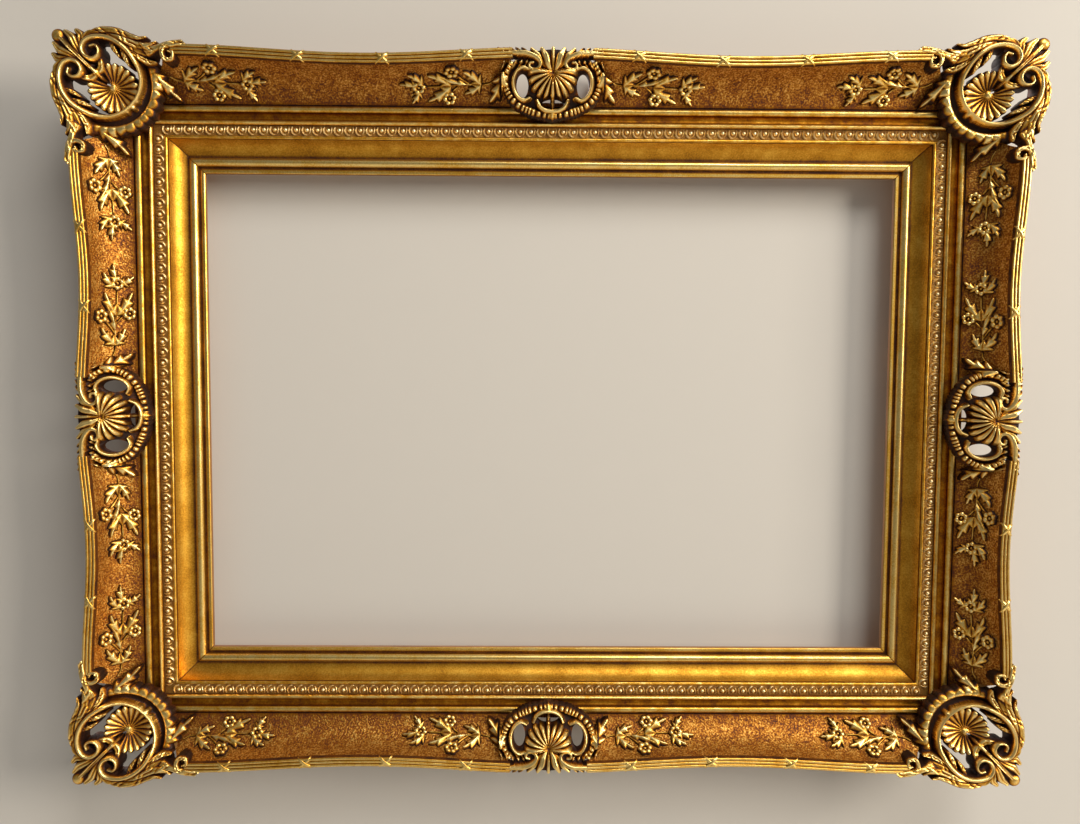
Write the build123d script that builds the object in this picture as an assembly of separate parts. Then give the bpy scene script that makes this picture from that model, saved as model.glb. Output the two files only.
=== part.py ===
from build123d import *
import os
from math import atan2, cos, degrees, pi, radians, sin, sqrt

# Gilded picture frame: mitred wooden rails with a wavy outer edge, cast ornaments laid on them,
# a mitred slip inside, and turn buttons and hangers behind. X runs to the right, Z up, and the
# front looks along -Y. The wall is the plane Y = 0, and the origin is the middle of the opening.

# Sight opening, and the slip that borders it. Offsets across a moulding are measured outwards
# from the sight edge, and heights forwards from the back of the rails.
sight_width = 546.0
sight_height = 380.0
slip_width = 30.6
slip_edge_height = 17.0
slip_edge_thickness = 4.5
picture_lap = 6.5
sight_fillet = 3.0
bead_start = 5.0
bead_width = 7.0
bead_rise = 3.4
slip_groove_depth = 1.0
slip_cove_start = 13.0
slip_clearance = 0.4

# Rails: the lip over the slip, the strip groove, two fillets with a hollow between, and the cove
lip_offset = 24.0
lip_underside = 26.6
lip_height = 29.6
lip_flat = 2.4
strip_width = 7.8
strip_depth = 1.2
strip_rise = 3.0
inner_fillet_width = 3.4
inner_fillet_rise = 3.2
hollow_width = 7.6
hollow_depth = 2.2
outer_fillet_width = 3.6
outer_fillet_rise = 2.8
cove_step = 1.0
cove_start_height = 30.4
cove_sag = 4.6
edge_height = 55.0
edge_offset = 82.3
edge_swell = 2.7
edge_terminal = 12.0
wall_gap = 6.0

# Reed edge moulding on the top of the rails
reed_width = 9.0
reed_rise = 5.5
reed_crown = 1.2
reed_count = 3
reed_corner_gap = 3.0

# Corners: the wood stops short behind the pierced corner cartouches, and feather keys hold the mitres
corner_clip = 64.0
key_width = 36.0
key_length = 14.0
key_thickness = 3.0
key_height = 8.0

# Centre notch, where the wood is cut away behind a pierced centre cartouche
notch_half_width = 32.0
notch_offset = 52.0

# Turn buttons behind the rails
button_reach = 37.5
button_width = 12.0
button_thickness = 1.6
button_lift = 0.15
button_pivot_offset = 40.0
button_spacing = 150.0
button_turned_aside = 90.0
button_screw_radius = 1.6
button_screw_length = 14.0
button_screw_head_radius = 3.6
button_screw_head_height = 1.8
running_clearance = 0.08

# Hangers: a strap on each side rail, and a ring hinged in its rolled end
hanger_height = 95.0
hanger_offset = 52.0
strap_width = 12.0
strap_length = 44.0
strap_thickness = 1.0
strap_first_screw = 18.0
strap_screw_pitch = 19.0
ring_wire_radius = 1.2
ring_bow_radius = 10.2
ring_lift = 2.8
hanger_screw_radius = 1.7
hanger_screw_length = 16.0
hanger_screw_head_radius = 3.2
hanger_screw_head_height = 1.3
hole_clearance = 0.05

# Wall bumpers near the lower corners
bumper_radius = 6.0
bumper_inset = 40.0
bumper_offset = 56.0

# Flower sprigs on the cove
sprig_relief = 3.4
sprig_glue_gap = 0.15
sprig_stem_width = 1.8
sprig_flower_radius = 4.4
sprig_middle = 60.5
sprig_centre_gap = 50.0
sprig_corner_gap = 10.0

# Corner cartouche, measured from the sight corner outwards. Its ring and shell lie on a tilted plane,
# and its scrolls and tip level with the edge of the rails.
corner_tilt = 14.0
corner_base_height = 26.0
corner_plate = 6.0
corner_ring_centre = 88.0
corner_ring_outer = 33.5
corner_ring_inner = 24.0
corner_frill_radius = 3.8
corner_frill_count = 13
corner_frill_rise = 2.0
corner_shell_centre = 79.5
corner_shell_radius = 13.0
corner_shell_ribs = 13
corner_shell_rib_radius = 3.6
corner_shell_rise = 2.0
corner_depth = 8.0
corner_scroll_aside = 12.0
corner_scroll_centre = 86.5
corner_scroll_outer = 27.0
corner_scroll_inner = 14.5
corner_scroll_rise = 5.0
corner_volute_aside = 10.0
corner_volute_centre = 103.5
corner_volute_radius = 8.2
corner_volute_rise = 7.0
corner_tip_neck = 90.0
corner_tip_reach = 135.0
corner_tip_width = 34.0
corner_tip_rise = 4.0
corner_curl_aside = 48.0
corner_curl_centre = 59.5
corner_curl_radius = 4.4
corner_leaf_width = 13.0

# Centre cartouche, measured on its own tilted plane from the sight edge outwards
centre_tilt = 25.0
centre_base_height = 18.5
centre_plate = 6.0
centre_border_middle = 72.0
centre_border_width = 80.0
centre_border_reach = 31.0
centre_border_band = 8.0
centre_frill_radius = 3.2
centre_frill_count = 13
centre_frill_rise = 2.0
centre_eye_aside = 24.5
centre_eye_middle = 67.3
centre_eye_width = 12.6
centre_eye_length = 18.4
centre_low_eye_middle = 53.5
centre_low_eye_width = 18.0
centre_low_eye_length = 8.8
centre_rim = 4.0
centre_rim_rise = 3.0
centre_shell_middle = 68.0
centre_shell_width = 34.0
centre_shell_length = 16.0
centre_shell_ribs = 11
centre_shell_rib_radius = 3.4
centre_shell_rise = 4.5
centre_scroll_end = 38.0
centre_scroll_rise = 4.5
centre_curl_aside = 13.0
centre_curl_middle = 78.0
centre_curl_radius = 5.6
centre_palmette_reach = 95.0
centre_palmette_width = 18.0
centre_leaf_reach = 48.0

half_width = sight_width / 2
half_height = sight_height / 2
far = 3 * edge_offset


def edge_at(along, half_length):
    """Offset of the wavy outer edge at a place along a rail: full at the middle and near the corners."""
    return edge_offset + edge_swell * cos(2 * pi * along / (half_length + edge_terminal))


def point(along, offset, height, reach):
    """A place on the upper rail whose sight edge lies at the given reach above the centre."""
    return Vector(along, -(wall_gap + height), reach + offset)


def straight_moulding(outline, half_length):
    """A moulding of one constant section along X, longer than its rail at both ends."""
    return extrude(make_face(outline), amount=half_length + far, dir=(1, 0, 0), both=True)


strip_start = lip_offset + lip_flat
strip_end = strip_start + strip_width
strip_floor = lip_height - strip_depth
hollow_start = strip_end + inner_fillet_width
hollow_end = hollow_start + hollow_width
outer_fillet_end = hollow_end + outer_fillet_width
cove_start = outer_fillet_end + cove_step
cove_end = edge_offset - edge_swell - reed_width
rebate_offset = slip_width + slip_clearance


def cove_arc(reach, lift):
    """The cove across a rail, from the step beside the outer fillet up to the level seat of the edge."""
    start = point(0, cove_start, cove_start_height + lift, reach)
    end = point(0, cove_end, edge_height + lift, reach)
    sag = cove_sag / sqrt(2)
    middle = (start + end) * 0.5 + Vector(0, sag, sag)
    return ThreePointArc(start, middle, end)


def rail_blank(half_length, reach):
    """A rail before it is cut to length: rebate, lip, strip groove, fillets, hollow, cove and seat."""

    def at(offset, height):
        return point(0, offset, height, reach)

    outline = [
        Polyline(
            at(rebate_offset, 0),
            at(rebate_offset, lip_underside),
            at(lip_offset, lip_underside),
            at(lip_offset, lip_height),
            at(strip_start, lip_height),
            at(strip_start, strip_floor),
            at(strip_end, strip_floor),
            at(strip_end, lip_height),
        ),
        ThreePointArc(
            at(strip_end, lip_height),
            at(strip_end + inner_fillet_width / 2, lip_height + inner_fillet_rise),
            at(hollow_start, lip_height),
        ),
        ThreePointArc(
            at(hollow_start, lip_height),
            at(hollow_start + hollow_width / 2, lip_height - hollow_depth),
            at(hollow_end, lip_height),
        ),
        ThreePointArc(
            at(hollow_end, lip_height),
            at(hollow_end + outer_fillet_width / 2, lip_height + outer_fillet_rise),
            at(outer_fillet_end, lip_height),
        ),
        Polyline(
            at(outer_fillet_end, lip_height),
            at(cove_start, lip_height),
            at(cove_start, cove_start_height),
        ),
        cove_arc(reach, 0),
        Polyline(
            at(cove_end, edge_height),
            at(cove_end + far, edge_height),
            at(cove_end + far, 0),
            at(rebate_offset, 0),
        ),
    ]
    return straight_moulding(outline, half_length)


def over_cove(half_length, reach, lift):
    """The space in front of the cove, from the given height over it."""

    def at(offset, height):
        return point(0, offset, height + lift, reach)

    cove = cove_arc(reach, lift)
    rest = Polyline(
        at(cove_end, edge_height),
        at(cove_end + far, edge_height),
        at(cove_end + far, edge_height + far),
        at(cove_start - far, edge_height + far),
        at(cove_start - far, cove_start_height),
        at(cove_start, cove_start_height),
    )
    return straight_moulding([cove, rest], half_length)


def edge_block(half_length, reach):
    """The space inside the wavy outer edge of a rail."""
    period = half_length + edge_terminal
    places = [period * step / 6 for step in range(-8, 9)]
    wave = Spline(*[(along, 0, reach + edge_at(along, half_length)) for along in places])
    first = places[0]
    last = places[-1]
    sides = Polyline(wave @ 1, (last, 0, 0), (first, 0, 0), wave @ 0)
    return extrude(make_face([wave, sides]), amount=far, dir=(0, 1, 0), both=True)


def mitre_block(half_length, reach, clipped):
    """The space of one rail between its mitre planes; clipped rails also stop short of the corner."""
    inner = half_length - slip_width
    outer = half_length + (corner_clip / sqrt(2) if clipped else far)
    half = [(inner, reach - slip_width), (outer, reach + outer - half_length)]
    if clipped:
        half.append((outer - edge_offset, reach + outer - half_length + edge_offset))
    corners = [(x, 0, z) for x, z in half] + [(-x, 0, z) for x, z in reversed(half)]
    face = make_face(Polyline(*corners, close=True))
    return extrude(face, amount=far, dir=(0, 1, 0), both=True)


def key_solid(corner_x, corner_z, side):
    """A flat feather key laid across the mitre of one upper corner."""
    middle = (rebate_offset + corner_clip / sqrt(2)) / 2
    key = Box(key_width, key_thickness, key_length)
    place = Pos(
        corner_x + side * middle,
        -(wall_gap + key_height + key_thickness / 2),
        corner_z + middle,
    )
    return place * Rot(0, 45 * side, 0) * key


def rail(half_length, reach):
    """One mitred rail with its cove and wavy edge, notched at the middle and slotted for the keys."""
    body = rail_blank(half_length, reach) & mitre_block(half_length, reach, True)
    body = body & edge_block(half_length, reach)
    notch = Box(2 * notch_half_width, far, far, align=(Align.CENTER, Align.CENTER, Align.MIN))
    body = body - Pos(0, 0, reach + notch_offset) * notch
    for side in (1, -1):
        body = body - key_solid(side * half_length, reach, side)
    return body


def slip(half_length, reach):
    """One side of the slip: sight fillet, bead and cove in front, and the picture's rebate behind."""

    def at(offset, height):
        return point(0, offset, height, reach)

    groove = slip_edge_height - slip_groove_depth
    bead_end = bead_start + bead_width
    cove_middle = ((slip_cove_start + lip_offset) / 2 + 1.5, (slip_edge_height + lip_underside) / 2 - 1.5)
    outline = [
        Polyline(
            at(0, slip_edge_height - slip_edge_thickness),
            at(0, slip_edge_height),
            at(sight_fillet, slip_edge_height),
            at(sight_fillet + slip_groove_depth, groove),
            at(bead_start, groove),
        ),
        ThreePointArc(
            at(bead_start, groove),
            at(bead_start + bead_width / 2, slip_edge_height + bead_rise),
            at(bead_end, groove),
        ),
        Line(at(bead_end, groove), at(slip_cove_start, groove)),
        ThreePointArc(at(slip_cove_start, groove), at(*cove_middle), at(lip_offset, lip_underside)),
        Polyline(
            at(lip_offset, lip_underside),
            at(slip_width, lip_underside),
            at(slip_width, slip_clearance),
            at(picture_lap, slip_clearance),
            at(picture_lap, slip_edge_height - slip_edge_thickness),
            at(0, slip_edge_height - slip_edge_thickness),
        ),
    ]
    return straight_moulding(outline, half_length) & mitre_block(half_length, reach, False)


def leaf_strip(half_length, reach):
    """The run of leaf tips that is pressed into the groove of a rail."""

    def at(offset, height):
        return point(0, offset, height, reach)

    outline = [
        Polyline(at(strip_start, lip_height), at(strip_start, strip_floor), at(strip_end, strip_floor)),
        Line(at(strip_end, strip_floor), at(strip_end, lip_height)),
        ThreePointArc(
            at(strip_end, lip_height),
            at((strip_start + strip_end) / 2, strip_floor + strip_rise),
            at(strip_start, lip_height),
        ),
    ]
    return straight_moulding(outline, half_length) & mitre_block(half_length, reach, False)


def reed_edge(half_length, reach):
    """The reeded moulding on the edge of a rail, from the centre cartouche to the corner."""
    first = centre_scroll_end
    last = half_length + reed_corner_gap
    reed = reed_width / reed_count
    shoulder = edge_height + reed_rise - reed_crown
    sections = []
    for step in range(9):
        along = first + (last - first) * step / 8
        start = edge_at(along, half_length) - reed_width
        outline = [
            Polyline(
                point(along, start, shoulder, reach),
                point(along, start, edge_height - reed_rise, reach),
                point(along, start + reed_width, edge_height - reed_rise, reach),
                point(along, start + reed_width, shoulder, reach),
            )
        ]
        for index in range(reed_count):
            left = start + reed * index
            outline.append(
                ThreePointArc(
                    point(along, left, shoulder, reach),
                    point(along, left + reed / 2, shoulder + reed_crown, reach),
                    point(along, left + reed, shoulder, reach),
                )
            )
        sections.append(make_face(outline))
    behind_seat = Box(2 * far + 2 * last, far, 4 * reach, align=(Align.CENTER, Align.MIN, Align.CENTER))
    return loft(sections) - Pos(0, -(wall_gap + edge_height), reach) * behind_seat


def leaf(base, tip, width):
    """A three-lobed leaf from its base to its tip."""
    start = Vector(*base)
    axis = Vector(*tip) - start
    across = Vector(-axis.Y, axis.X) * (width / axis.length)
    half = [(0.25, 0.28), (0.5, 0.5), (0.58, 0.25), (0.8, 0.2)]
    near = [start + axis * along + across * aside for along, aside in half]
    back = [start + axis * along - across * aside for along, aside in reversed(half)]
    return make_face(Polyline(start, *near, start + axis, *back, close=True))


def stem(start, end):
    """A straight piece of stem with rounded ends."""
    first = Vector(*start)
    run = Vector(*end) - first
    middle = first + run * 0.5
    angle = degrees(atan2(run.Y, run.X))
    return Pos(middle.X, middle.Y) * Rot(0, 0, angle) * SlotCenterToCenter(run.length, sprig_stem_width)


sprig_stems = [
    ((0, 0), (12, 0.5)),
    ((12, 0.5), (30, -0.3)),
    ((30, -0.3), (47, -2.2)),
    ((15, 0.4), (25, 5.6)),
    ((12, 0.3), (22, -6)),
]
sprig_flowers = [(25.5, 5.4), (22.5, -6), (47.5, -2.2)]
sprig_leaves = [
    ((2, 0), (17, 8.5), 7),
    ((2, 0), (13, -5.5), 6),
    ((24, 0), (35, 7), 4.5),
    ((28, 0), (44, 7.5), 6),
    ((26, 0), (38, -9.5), 6),
    ((47, 0), (56, 8.5), 5),
    ((48, -2), (62, 3), 5),
    ((48, -3), (54, -10), 4.5),
]


def sprig_outline():
    """The sprig as seen from the front, growing along X from its base."""
    outline = Sketch()
    for start, end in sprig_stems:
        outline = outline + stem(start, end)
    for base, tip, width in sprig_leaves:
        outline = outline + leaf(base, tip, width)
    for place in sprig_flowers:
        outline = outline + Pos(*place) * Circle(sprig_flower_radius)
    return outline


def sprigs(half_length, reach):
    """The two sprigs of half a rail, laid on its cove: one from the centre and one from the corner."""
    outline = sprig_outline()
    base = reach + sprig_middle
    from_centre = Pos(sprig_centre_gap, base) * outline
    from_corner = Pos(half_length + sprig_corner_gap, base) * mirror(outline, about=Plane.YZ)
    seat = over_cove(half_length, reach, sprig_glue_gap)
    over = over_cove(half_length, reach, sprig_relief)
    level = Plane.XZ.offset(wall_gap + cove_start_height)
    made = []
    for face in (from_centre, from_corner):
        block = extrude(level * face, amount=edge_height)
        made.append((block & seat) - over)
    return made


def raised(plane, outline, bottom, top):
    """An outline drawn on a plane, raised from one height over it to another."""
    return extrude(plane.offset(bottom) * outline, amount=top - bottom)


def corner_cartouche(bodies):
    """The pierced corner casting: frilled ring, shell, two C-scrolls, palmette tip and edge leaves."""
    tilt = radians(corner_tilt)
    across = Vector(1, 0, -1).normalized()
    outward = Vector(cos(tilt) / sqrt(2), -sin(tilt), cos(tilt) / sqrt(2))
    origin = Vector(half_width, -(wall_gap + corner_base_height), half_height)
    plane = Plane(origin=origin, x_dir=across, z_dir=across.cross(outward))

    level = Plane(origin=(half_width, -wall_gap, half_height), x_dir=across, z_dir=(0, -1, 0))

    ring = Pos(0, corner_ring_centre) * (Circle(corner_ring_outer) - Circle(corner_ring_inner))
    frill = Sketch()
    for index in range(corner_frill_count):
        turn = radians(-185 + 190 * index / (corner_frill_count - 1))
        lobe = Pos(corner_ring_outer * cos(turn), corner_ring_centre + corner_ring_outer * sin(turn))
        frill = frill + lobe * Circle(corner_frill_radius)
    shell = Pos(0, corner_shell_centre) * Circle(corner_shell_radius)
    for index in range(corner_shell_ribs):
        turn = radians(-220 + 260 * index / (corner_shell_ribs - 1))
        rib = Pos(corner_shell_radius * cos(turn), corner_shell_centre + corner_shell_radius * sin(turn))
        shell = shell + rib * Circle(corner_shell_rib_radius)
    scrolls = Sketch()
    volutes = Sketch()
    leaves = Sketch()
    for side in (1, -1):
        middle = (side * corner_scroll_aside, corner_scroll_centre)
        start = -25 if side == 1 else 75
        outer = CenterArc(middle, corner_scroll_outer, start, 130)
        inner = CenterArc(middle, corner_scroll_inner, start, 130)
        ends = [Line(outer @ 0, inner @ 0), Line(outer @ 1, inner @ 1)]
        scrolls = scrolls + make_face([outer, inner] + ends)
        eye = Pos(side * corner_volute_aside, corner_volute_centre)
        volutes = volutes + eye * Circle(corner_volute_radius)
        curl = (side * corner_curl_aside, corner_curl_centre)
        shoulder = (side * (corner_scroll_aside + corner_scroll_inner), corner_scroll_centre)
        leaves = leaves + leaf(shoulder, curl, corner_leaf_width)
        leaves = leaves + Pos(*curl) * Circle(corner_curl_radius)
    wide = corner_tip_width / 2
    neck = corner_tip_neck
    spread = corner_tip_reach - neck
    half_tip = [(0.3, 0), (0.4, 0.3), (1, 0.5), (0.9, 0.6), (0.62, 0.7), (0.58, 0.8), (0.24, 0.93), (0, 1)]
    right_side = [(wide * aside, neck + spread * out) for aside, out in half_tip]
    left_side = [(-x, y) for x, y in reversed(right_side[:-1])]
    tip = make_face(Polyline(*right_side, *left_side, close=True))
    casting = Part()
    for outline, rise in ((ring, 0), (frill, corner_frill_rise), (shell, corner_shell_rise)):
        casting = casting + raised(plane, outline, -corner_plate, rise)
    levels = ((scrolls, corner_scroll_rise), (volutes, corner_volute_rise), (tip, corner_tip_rise))
    for outline, rise in levels:
        casting = casting + raised(level, outline, edge_height - corner_depth, edge_height + rise)
    casting = casting + raised(level, leaves, edge_height, edge_height + corner_scroll_rise)
    for body in bodies:
        casting = casting - body
    return casting


def centre_cartouche(bodies, reach):
    """The pierced centre casting: frilled border, three rimmed eyes, shell, two scrolls and a palmette."""
    tilt = radians(centre_tilt)
    outward = Vector(0, -sin(tilt), cos(tilt))
    along = Vector(1, 0, 0)
    origin = Vector(0, -(wall_gap + centre_base_height), reach)
    plane = Plane(origin=origin, x_dir=along, z_dir=along.cross(outward))

    half_border = centre_border_width / 2
    band = centre_border_band
    border = Ellipse(half_border, centre_border_reach)
    border = border - Ellipse(half_border - band, centre_border_reach - band)
    border = border & Pos(0, -centre_border_reach) * Rectangle(centre_border_width, 2 * centre_border_reach)
    border = Pos(0, centre_border_middle) * border
    frill = Sketch()
    for index in range(centre_frill_count):
        turn = radians(-178 + 176 * index / (centre_frill_count - 1))
        place = (half_border * cos(turn), centre_border_middle + centre_border_reach * sin(turn))
        frill = frill + Pos(*place) * Circle(centre_frill_radius)
    eyes = Pos(0, centre_low_eye_middle) * Ellipse(centre_low_eye_width / 2, centre_low_eye_length / 2)
    rims = Pos(0, centre_low_eye_middle) * Ellipse(
        centre_low_eye_width / 2 + centre_rim, centre_low_eye_length / 2 + centre_rim
    )
    scrolls = Sketch()
    leaves = Sketch()
    for side in (1, -1):
        eye = Pos(side * centre_eye_aside, centre_eye_middle)
        eyes = eyes + eye * Ellipse(centre_eye_width / 2, centre_eye_length / 2)
        rims = rims + eye * Ellipse(centre_eye_width / 2 + centre_rim, centre_eye_length / 2 + centre_rim)
        curl = (side * centre_curl_aside, centre_curl_middle)
        scrolls = scrolls + Pos(*curl) * Circle(centre_curl_radius)
        foot = (edge_offset + edge_swell - reed_width) / cos(tilt)
        head = (edge_offset + edge_swell) / cos(tilt)
        scroll = make_face(
            Polyline(
                (side * centre_scroll_end, foot),
                (side * centre_scroll_end, head),
                (side * centre_scroll_end * 0.6, head + 1),
                (side * (centre_curl_aside - 2), head),
                (side * (centre_curl_aside - centre_curl_radius), centre_curl_middle + 6),
                (side * centre_curl_aside, centre_curl_middle),
                (side * (centre_curl_aside + centre_curl_radius), centre_curl_middle + 5),
                close=True,
            )
        )
        scrolls = scrolls + scroll
        leaves = leaves + leaf(
            (side * (half_border - band), centre_border_middle + 4),
            (side * centre_leaf_reach, centre_border_middle - centre_border_reach * 0.55),
            centre_border_band * 1.6,
        )
    shell = Pos(0, centre_shell_middle) * Ellipse(centre_shell_width / 2, centre_shell_length / 2)
    for index in range(centre_shell_ribs):
        turn = radians(-180 + 180 * index / (centre_shell_ribs - 1))
        place = (
            centre_shell_width / 2 * cos(turn),
            centre_shell_middle + centre_shell_length / 2 * sin(turn),
        )
        shell = shell + Pos(*place) * Circle(centre_shell_rib_radius)
    wide = centre_palmette_width / 2
    palmette = make_face(
        Polyline(
            (wide, centre_shell_middle),
            (wide, centre_palmette_reach - 7),
            (wide * 0.6, centre_palmette_reach - 2),
            (0, centre_palmette_reach),
            (-wide * 0.6, centre_palmette_reach - 2),
            (-wide, centre_palmette_reach - 7),
            (-wide, centre_shell_middle),
            close=True,
        )
    )
    layers = [
        (border, 0),
        (frill, centre_frill_rise),
        (rims, centre_rim_rise),
        (leaves, centre_frill_rise),
        (palmette, centre_rim_rise),
        (shell, centre_shell_rise),
        (scrolls, centre_scroll_rise),
    ]
    casting = Part()
    for outline, rise in layers:
        casting = casting + raised(plane, outline - eyes, -centre_plate, rise)
    for body in bodies:
        casting = casting - body
    return casting


def turn_button():
    """A flat turn button over its pivot, pointing down, with its hole."""
    reach = Vector(0, -button_reach + button_width / 2)
    plate = Pos(0, reach.Y / 2) * Rot(0, 0, 90) * SlotCenterToCenter(-reach.Y, button_width)
    plate = plate - Circle(button_screw_radius + running_clearance)
    return extrude(Plane.XZ * plate, amount=-button_thickness)


def screw(radius, length, head_radius, head_height):
    """A screw with its head's underside at Y = 0 and its shank towards the front."""
    shank = Pos(0, -length / 2, 0) * Rot(90, 0, 0) * Cylinder(radius, length)
    head = Pos(0, head_height / 2, 0) * Rot(90, 0, 0) * Cylinder(head_radius, head_height)
    return shank + head


def bore(radius, depth):
    """The hole for a screw, from the back of a rail forwards."""
    return Pos(0, -depth / 2, 0) * Rot(90, 0, 0) * Cylinder(radius, depth)


back = -wall_gap
button_back = back + button_lift + button_thickness
button_screw_depth = button_screw_length - button_lift - button_thickness - running_clearance
hinge_z = hanger_height
hinge_y = back + ring_lift
loop_bore = ring_wire_radius + running_clearance
loop_radius = loop_bore + strap_thickness
hanger_screws_z = [hinge_z - strap_first_screw, hinge_z - strap_first_screw - strap_screw_pitch]


def hanger_strap(x):
    """A strap plate with its upper end rolled round the bar of the ring."""
    plate = Box(strap_width, strap_thickness, strap_length, align=(Align.CENTER, Align.MIN, Align.MAX))
    strap = Pos(x, back, hinge_z) * plate
    strap = strap + Pos(x, hinge_y, hinge_z) * Rot(0, 90, 0) * Cylinder(loop_radius, strap_width)
    strap = strap - Pos(x, hinge_y, hinge_z) * Rot(0, 90, 0) * Cylinder(loop_bore, strap_width)
    for z in hanger_screws_z:
        hole = Cylinder(hanger_screw_radius + hole_clearance, 4 * strap_thickness)
        strap = strap - Pos(x, back, z) * Rot(90, 0, 0) * hole
    return strap


def hanger_ring(x):
    """A wire D-ring hanging from its bar in the rolled end of the strap."""
    bow = Rot(90, 0, 0) * Torus(ring_bow_radius, ring_wire_radius)
    lower = Box(far, far, far, align=(Align.CENTER, Align.CENTER, Align.MAX))
    ring = bow & lower
    ring = ring + Rot(0, 90, 0) * Cylinder(ring_wire_radius, 2 * ring_bow_radius)
    for side in (1, -1):
        ring = ring + Pos(side * ring_bow_radius, 0, 0) * Sphere(ring_wire_radius)
    return Pos(x, hinge_y, hinge_z) * ring


def to_side(solid):
    """Turn a piece of the upper rail round to the right-hand rail."""
    return Rot(0, 90, 0) * solid


def flip_x(solid):
    return mirror(solid, about=Plane.YZ)


def flip_z(solid):
    return mirror(solid, about=Plane.XY)


parts = {}

# Rails, with the holes for the screws of the turn buttons and the hangers
top_rail = rail(half_width, half_height)
right_rail = rail(half_height, half_width)
button_bore = bore(button_screw_radius + hole_clearance, button_screw_depth)
hanger_bore = bore(hanger_screw_radius + hole_clearance, hanger_screw_length - strap_thickness)
bored_top = top_rail
for x in (-button_spacing, button_spacing):
    bored_top = bored_top - Pos(x, back, half_height + button_pivot_offset) * button_bore
side_rail = to_side(right_rail)
bored_side = side_rail - Pos(half_width + button_pivot_offset, back, 0) * button_bore
for z in hanger_screws_z:
    bored_side = bored_side - Pos(half_width + hanger_offset, back, z) * hanger_bore
parts["top_rail"] = bored_top
parts["bottom_rail"] = flip_z(bored_top)
parts["right_rail"] = bored_side
parts["left_rail"] = flip_x(bored_side)

# Feather keys, slip and leaf-tip strips
upper_keys = [key_solid(side * half_width, half_height, side) for side in (1, -1)]
parts["corner_keys"] = Compound(upper_keys + [flip_z(key) for key in upper_keys])
top_strip = leaf_strip(half_width, half_height)
right_strip = leaf_strip(half_height, half_width)
mouldings = {
    "slip": (slip(half_width, half_height), slip(half_height, half_width)),
    "leaf_strip": (top_strip, right_strip),
}
for name, (upper, upright) in mouldings.items():
    side = to_side(upright)
    parts[f"{name}_top"] = upper
    parts[f"{name}_bottom"] = flip_z(upper)
    parts[f"{name}_right"] = side
    parts[f"{name}_left"] = flip_x(side)

# Reed edges and sprigs, made for the right half of the top rail and the upper half of the right rail
long_sprigs = sprigs(half_width, half_height)
short_sprigs = sprigs(half_height, half_width)
long_pieces = {
    "reed_edge": reed_edge(half_width, half_height),
    "sprig_centre": long_sprigs[0],
    "sprig_corner": long_sprigs[1],
}
short_pieces = {
    "reed_edge": reed_edge(half_height, half_width),
    "sprig_centre": short_sprigs[0],
    "sprig_corner": short_sprigs[1],
}
for name, piece in long_pieces.items():
    parts[f"{name}_top_right"] = piece
    parts[f"{name}_top_left"] = flip_x(piece)
    parts[f"{name}_bottom_right"] = flip_z(piece)
    parts[f"{name}_bottom_left"] = flip_z(flip_x(piece))
for name, piece in short_pieces.items():
    lower = to_side(piece)
    parts[f"{name}_right_lower"] = lower
    parts[f"{name}_right_upper"] = flip_z(lower)
    parts[f"{name}_left_lower"] = flip_x(lower)
    parts[f"{name}_left_upper"] = flip_z(flip_x(lower))

# Cartouches
corner = corner_cartouche([top_rail, side_rail, top_strip, to_side(right_strip)])
parts["corner_cartouche_top_right"] = corner
parts["corner_cartouche_top_left"] = flip_x(corner)
parts["corner_cartouche_bottom_right"] = flip_z(corner)
parts["corner_cartouche_bottom_left"] = flip_z(flip_x(corner))
centre_top = centre_cartouche([top_rail, top_strip], half_height)
centre_right = to_side(centre_cartouche([right_rail, right_strip], half_width))
parts["centre_cartouche_top"] = centre_top
parts["centre_cartouche_bottom"] = flip_z(centre_top)
parts["centre_cartouche_right"] = centre_right
parts["centre_cartouche_left"] = flip_x(centre_right)

# Turn buttons, turned aside along the rails while no picture is in the frame, and their screws
pivots = {
    "top_left": (-button_spacing, half_height + button_pivot_offset, 0),
    "top_right": (button_spacing, half_height + button_pivot_offset, 0),
    "right": (half_width + button_pivot_offset, 0, 90),
    "bottom_right": (button_spacing, -half_height - button_pivot_offset, 180),
    "bottom_left": (-button_spacing, -half_height - button_pivot_offset, 180),
    "left": (-half_width - button_pivot_offset, 0, -90),
}
button_screws = []
for name, (x, z, turn) in pivots.items():
    seat = Pos(x, back + button_lift, z) * Rot(0, turn + button_turned_aside, 0)
    parts[f"turn_button_{name}"] = seat * turn_button()
    pivot_screw = screw(
        button_screw_radius, button_screw_length, button_screw_head_radius, button_screw_head_height
    )
    button_screws.append(Pos(x, button_back + running_clearance, z) * pivot_screw)
parts["turn_button_screws"] = Compound(button_screws)

# Hangers and their screws
hanger_screws = []
for name, side in (("right", 1), ("left", -1)):
    hanger_x = side * (half_width + hanger_offset)
    parts[f"hanger_strap_{name}"] = hanger_strap(hanger_x)
    parts[f"hanger_ring_{name}"] = hanger_ring(hanger_x)
    for z in hanger_screws_z:
        strap_screw = screw(
            hanger_screw_radius, hanger_screw_length, hanger_screw_head_radius, hanger_screw_head_height
        )
        hanger_screws.append(Pos(hanger_x, back + strap_thickness, z) * strap_screw)
parts["hanger_screws"] = Compound(hanger_screws)

# Wall bumpers
bumper = Rot(90, 0, 0) * Cylinder(bumper_radius, wall_gap)
bumpers = []
for side in (1, -1):
    place = Pos(side * (half_width - bumper_inset), -wall_gap / 2, -half_height - bumper_offset)
    bumpers.append(place * bumper)
parts["wall_bumpers"] = Compound(bumpers)

os.makedirs("parts", exist_ok=True)
for name, solid in parts.items():
    export_step(solid, f"parts/{name}.step")
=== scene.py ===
from math import cos, pi, radians, sin, sqrt
import bmesh
import bpy
import numpy as np
from mathutils import Matrix, Vector


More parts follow.
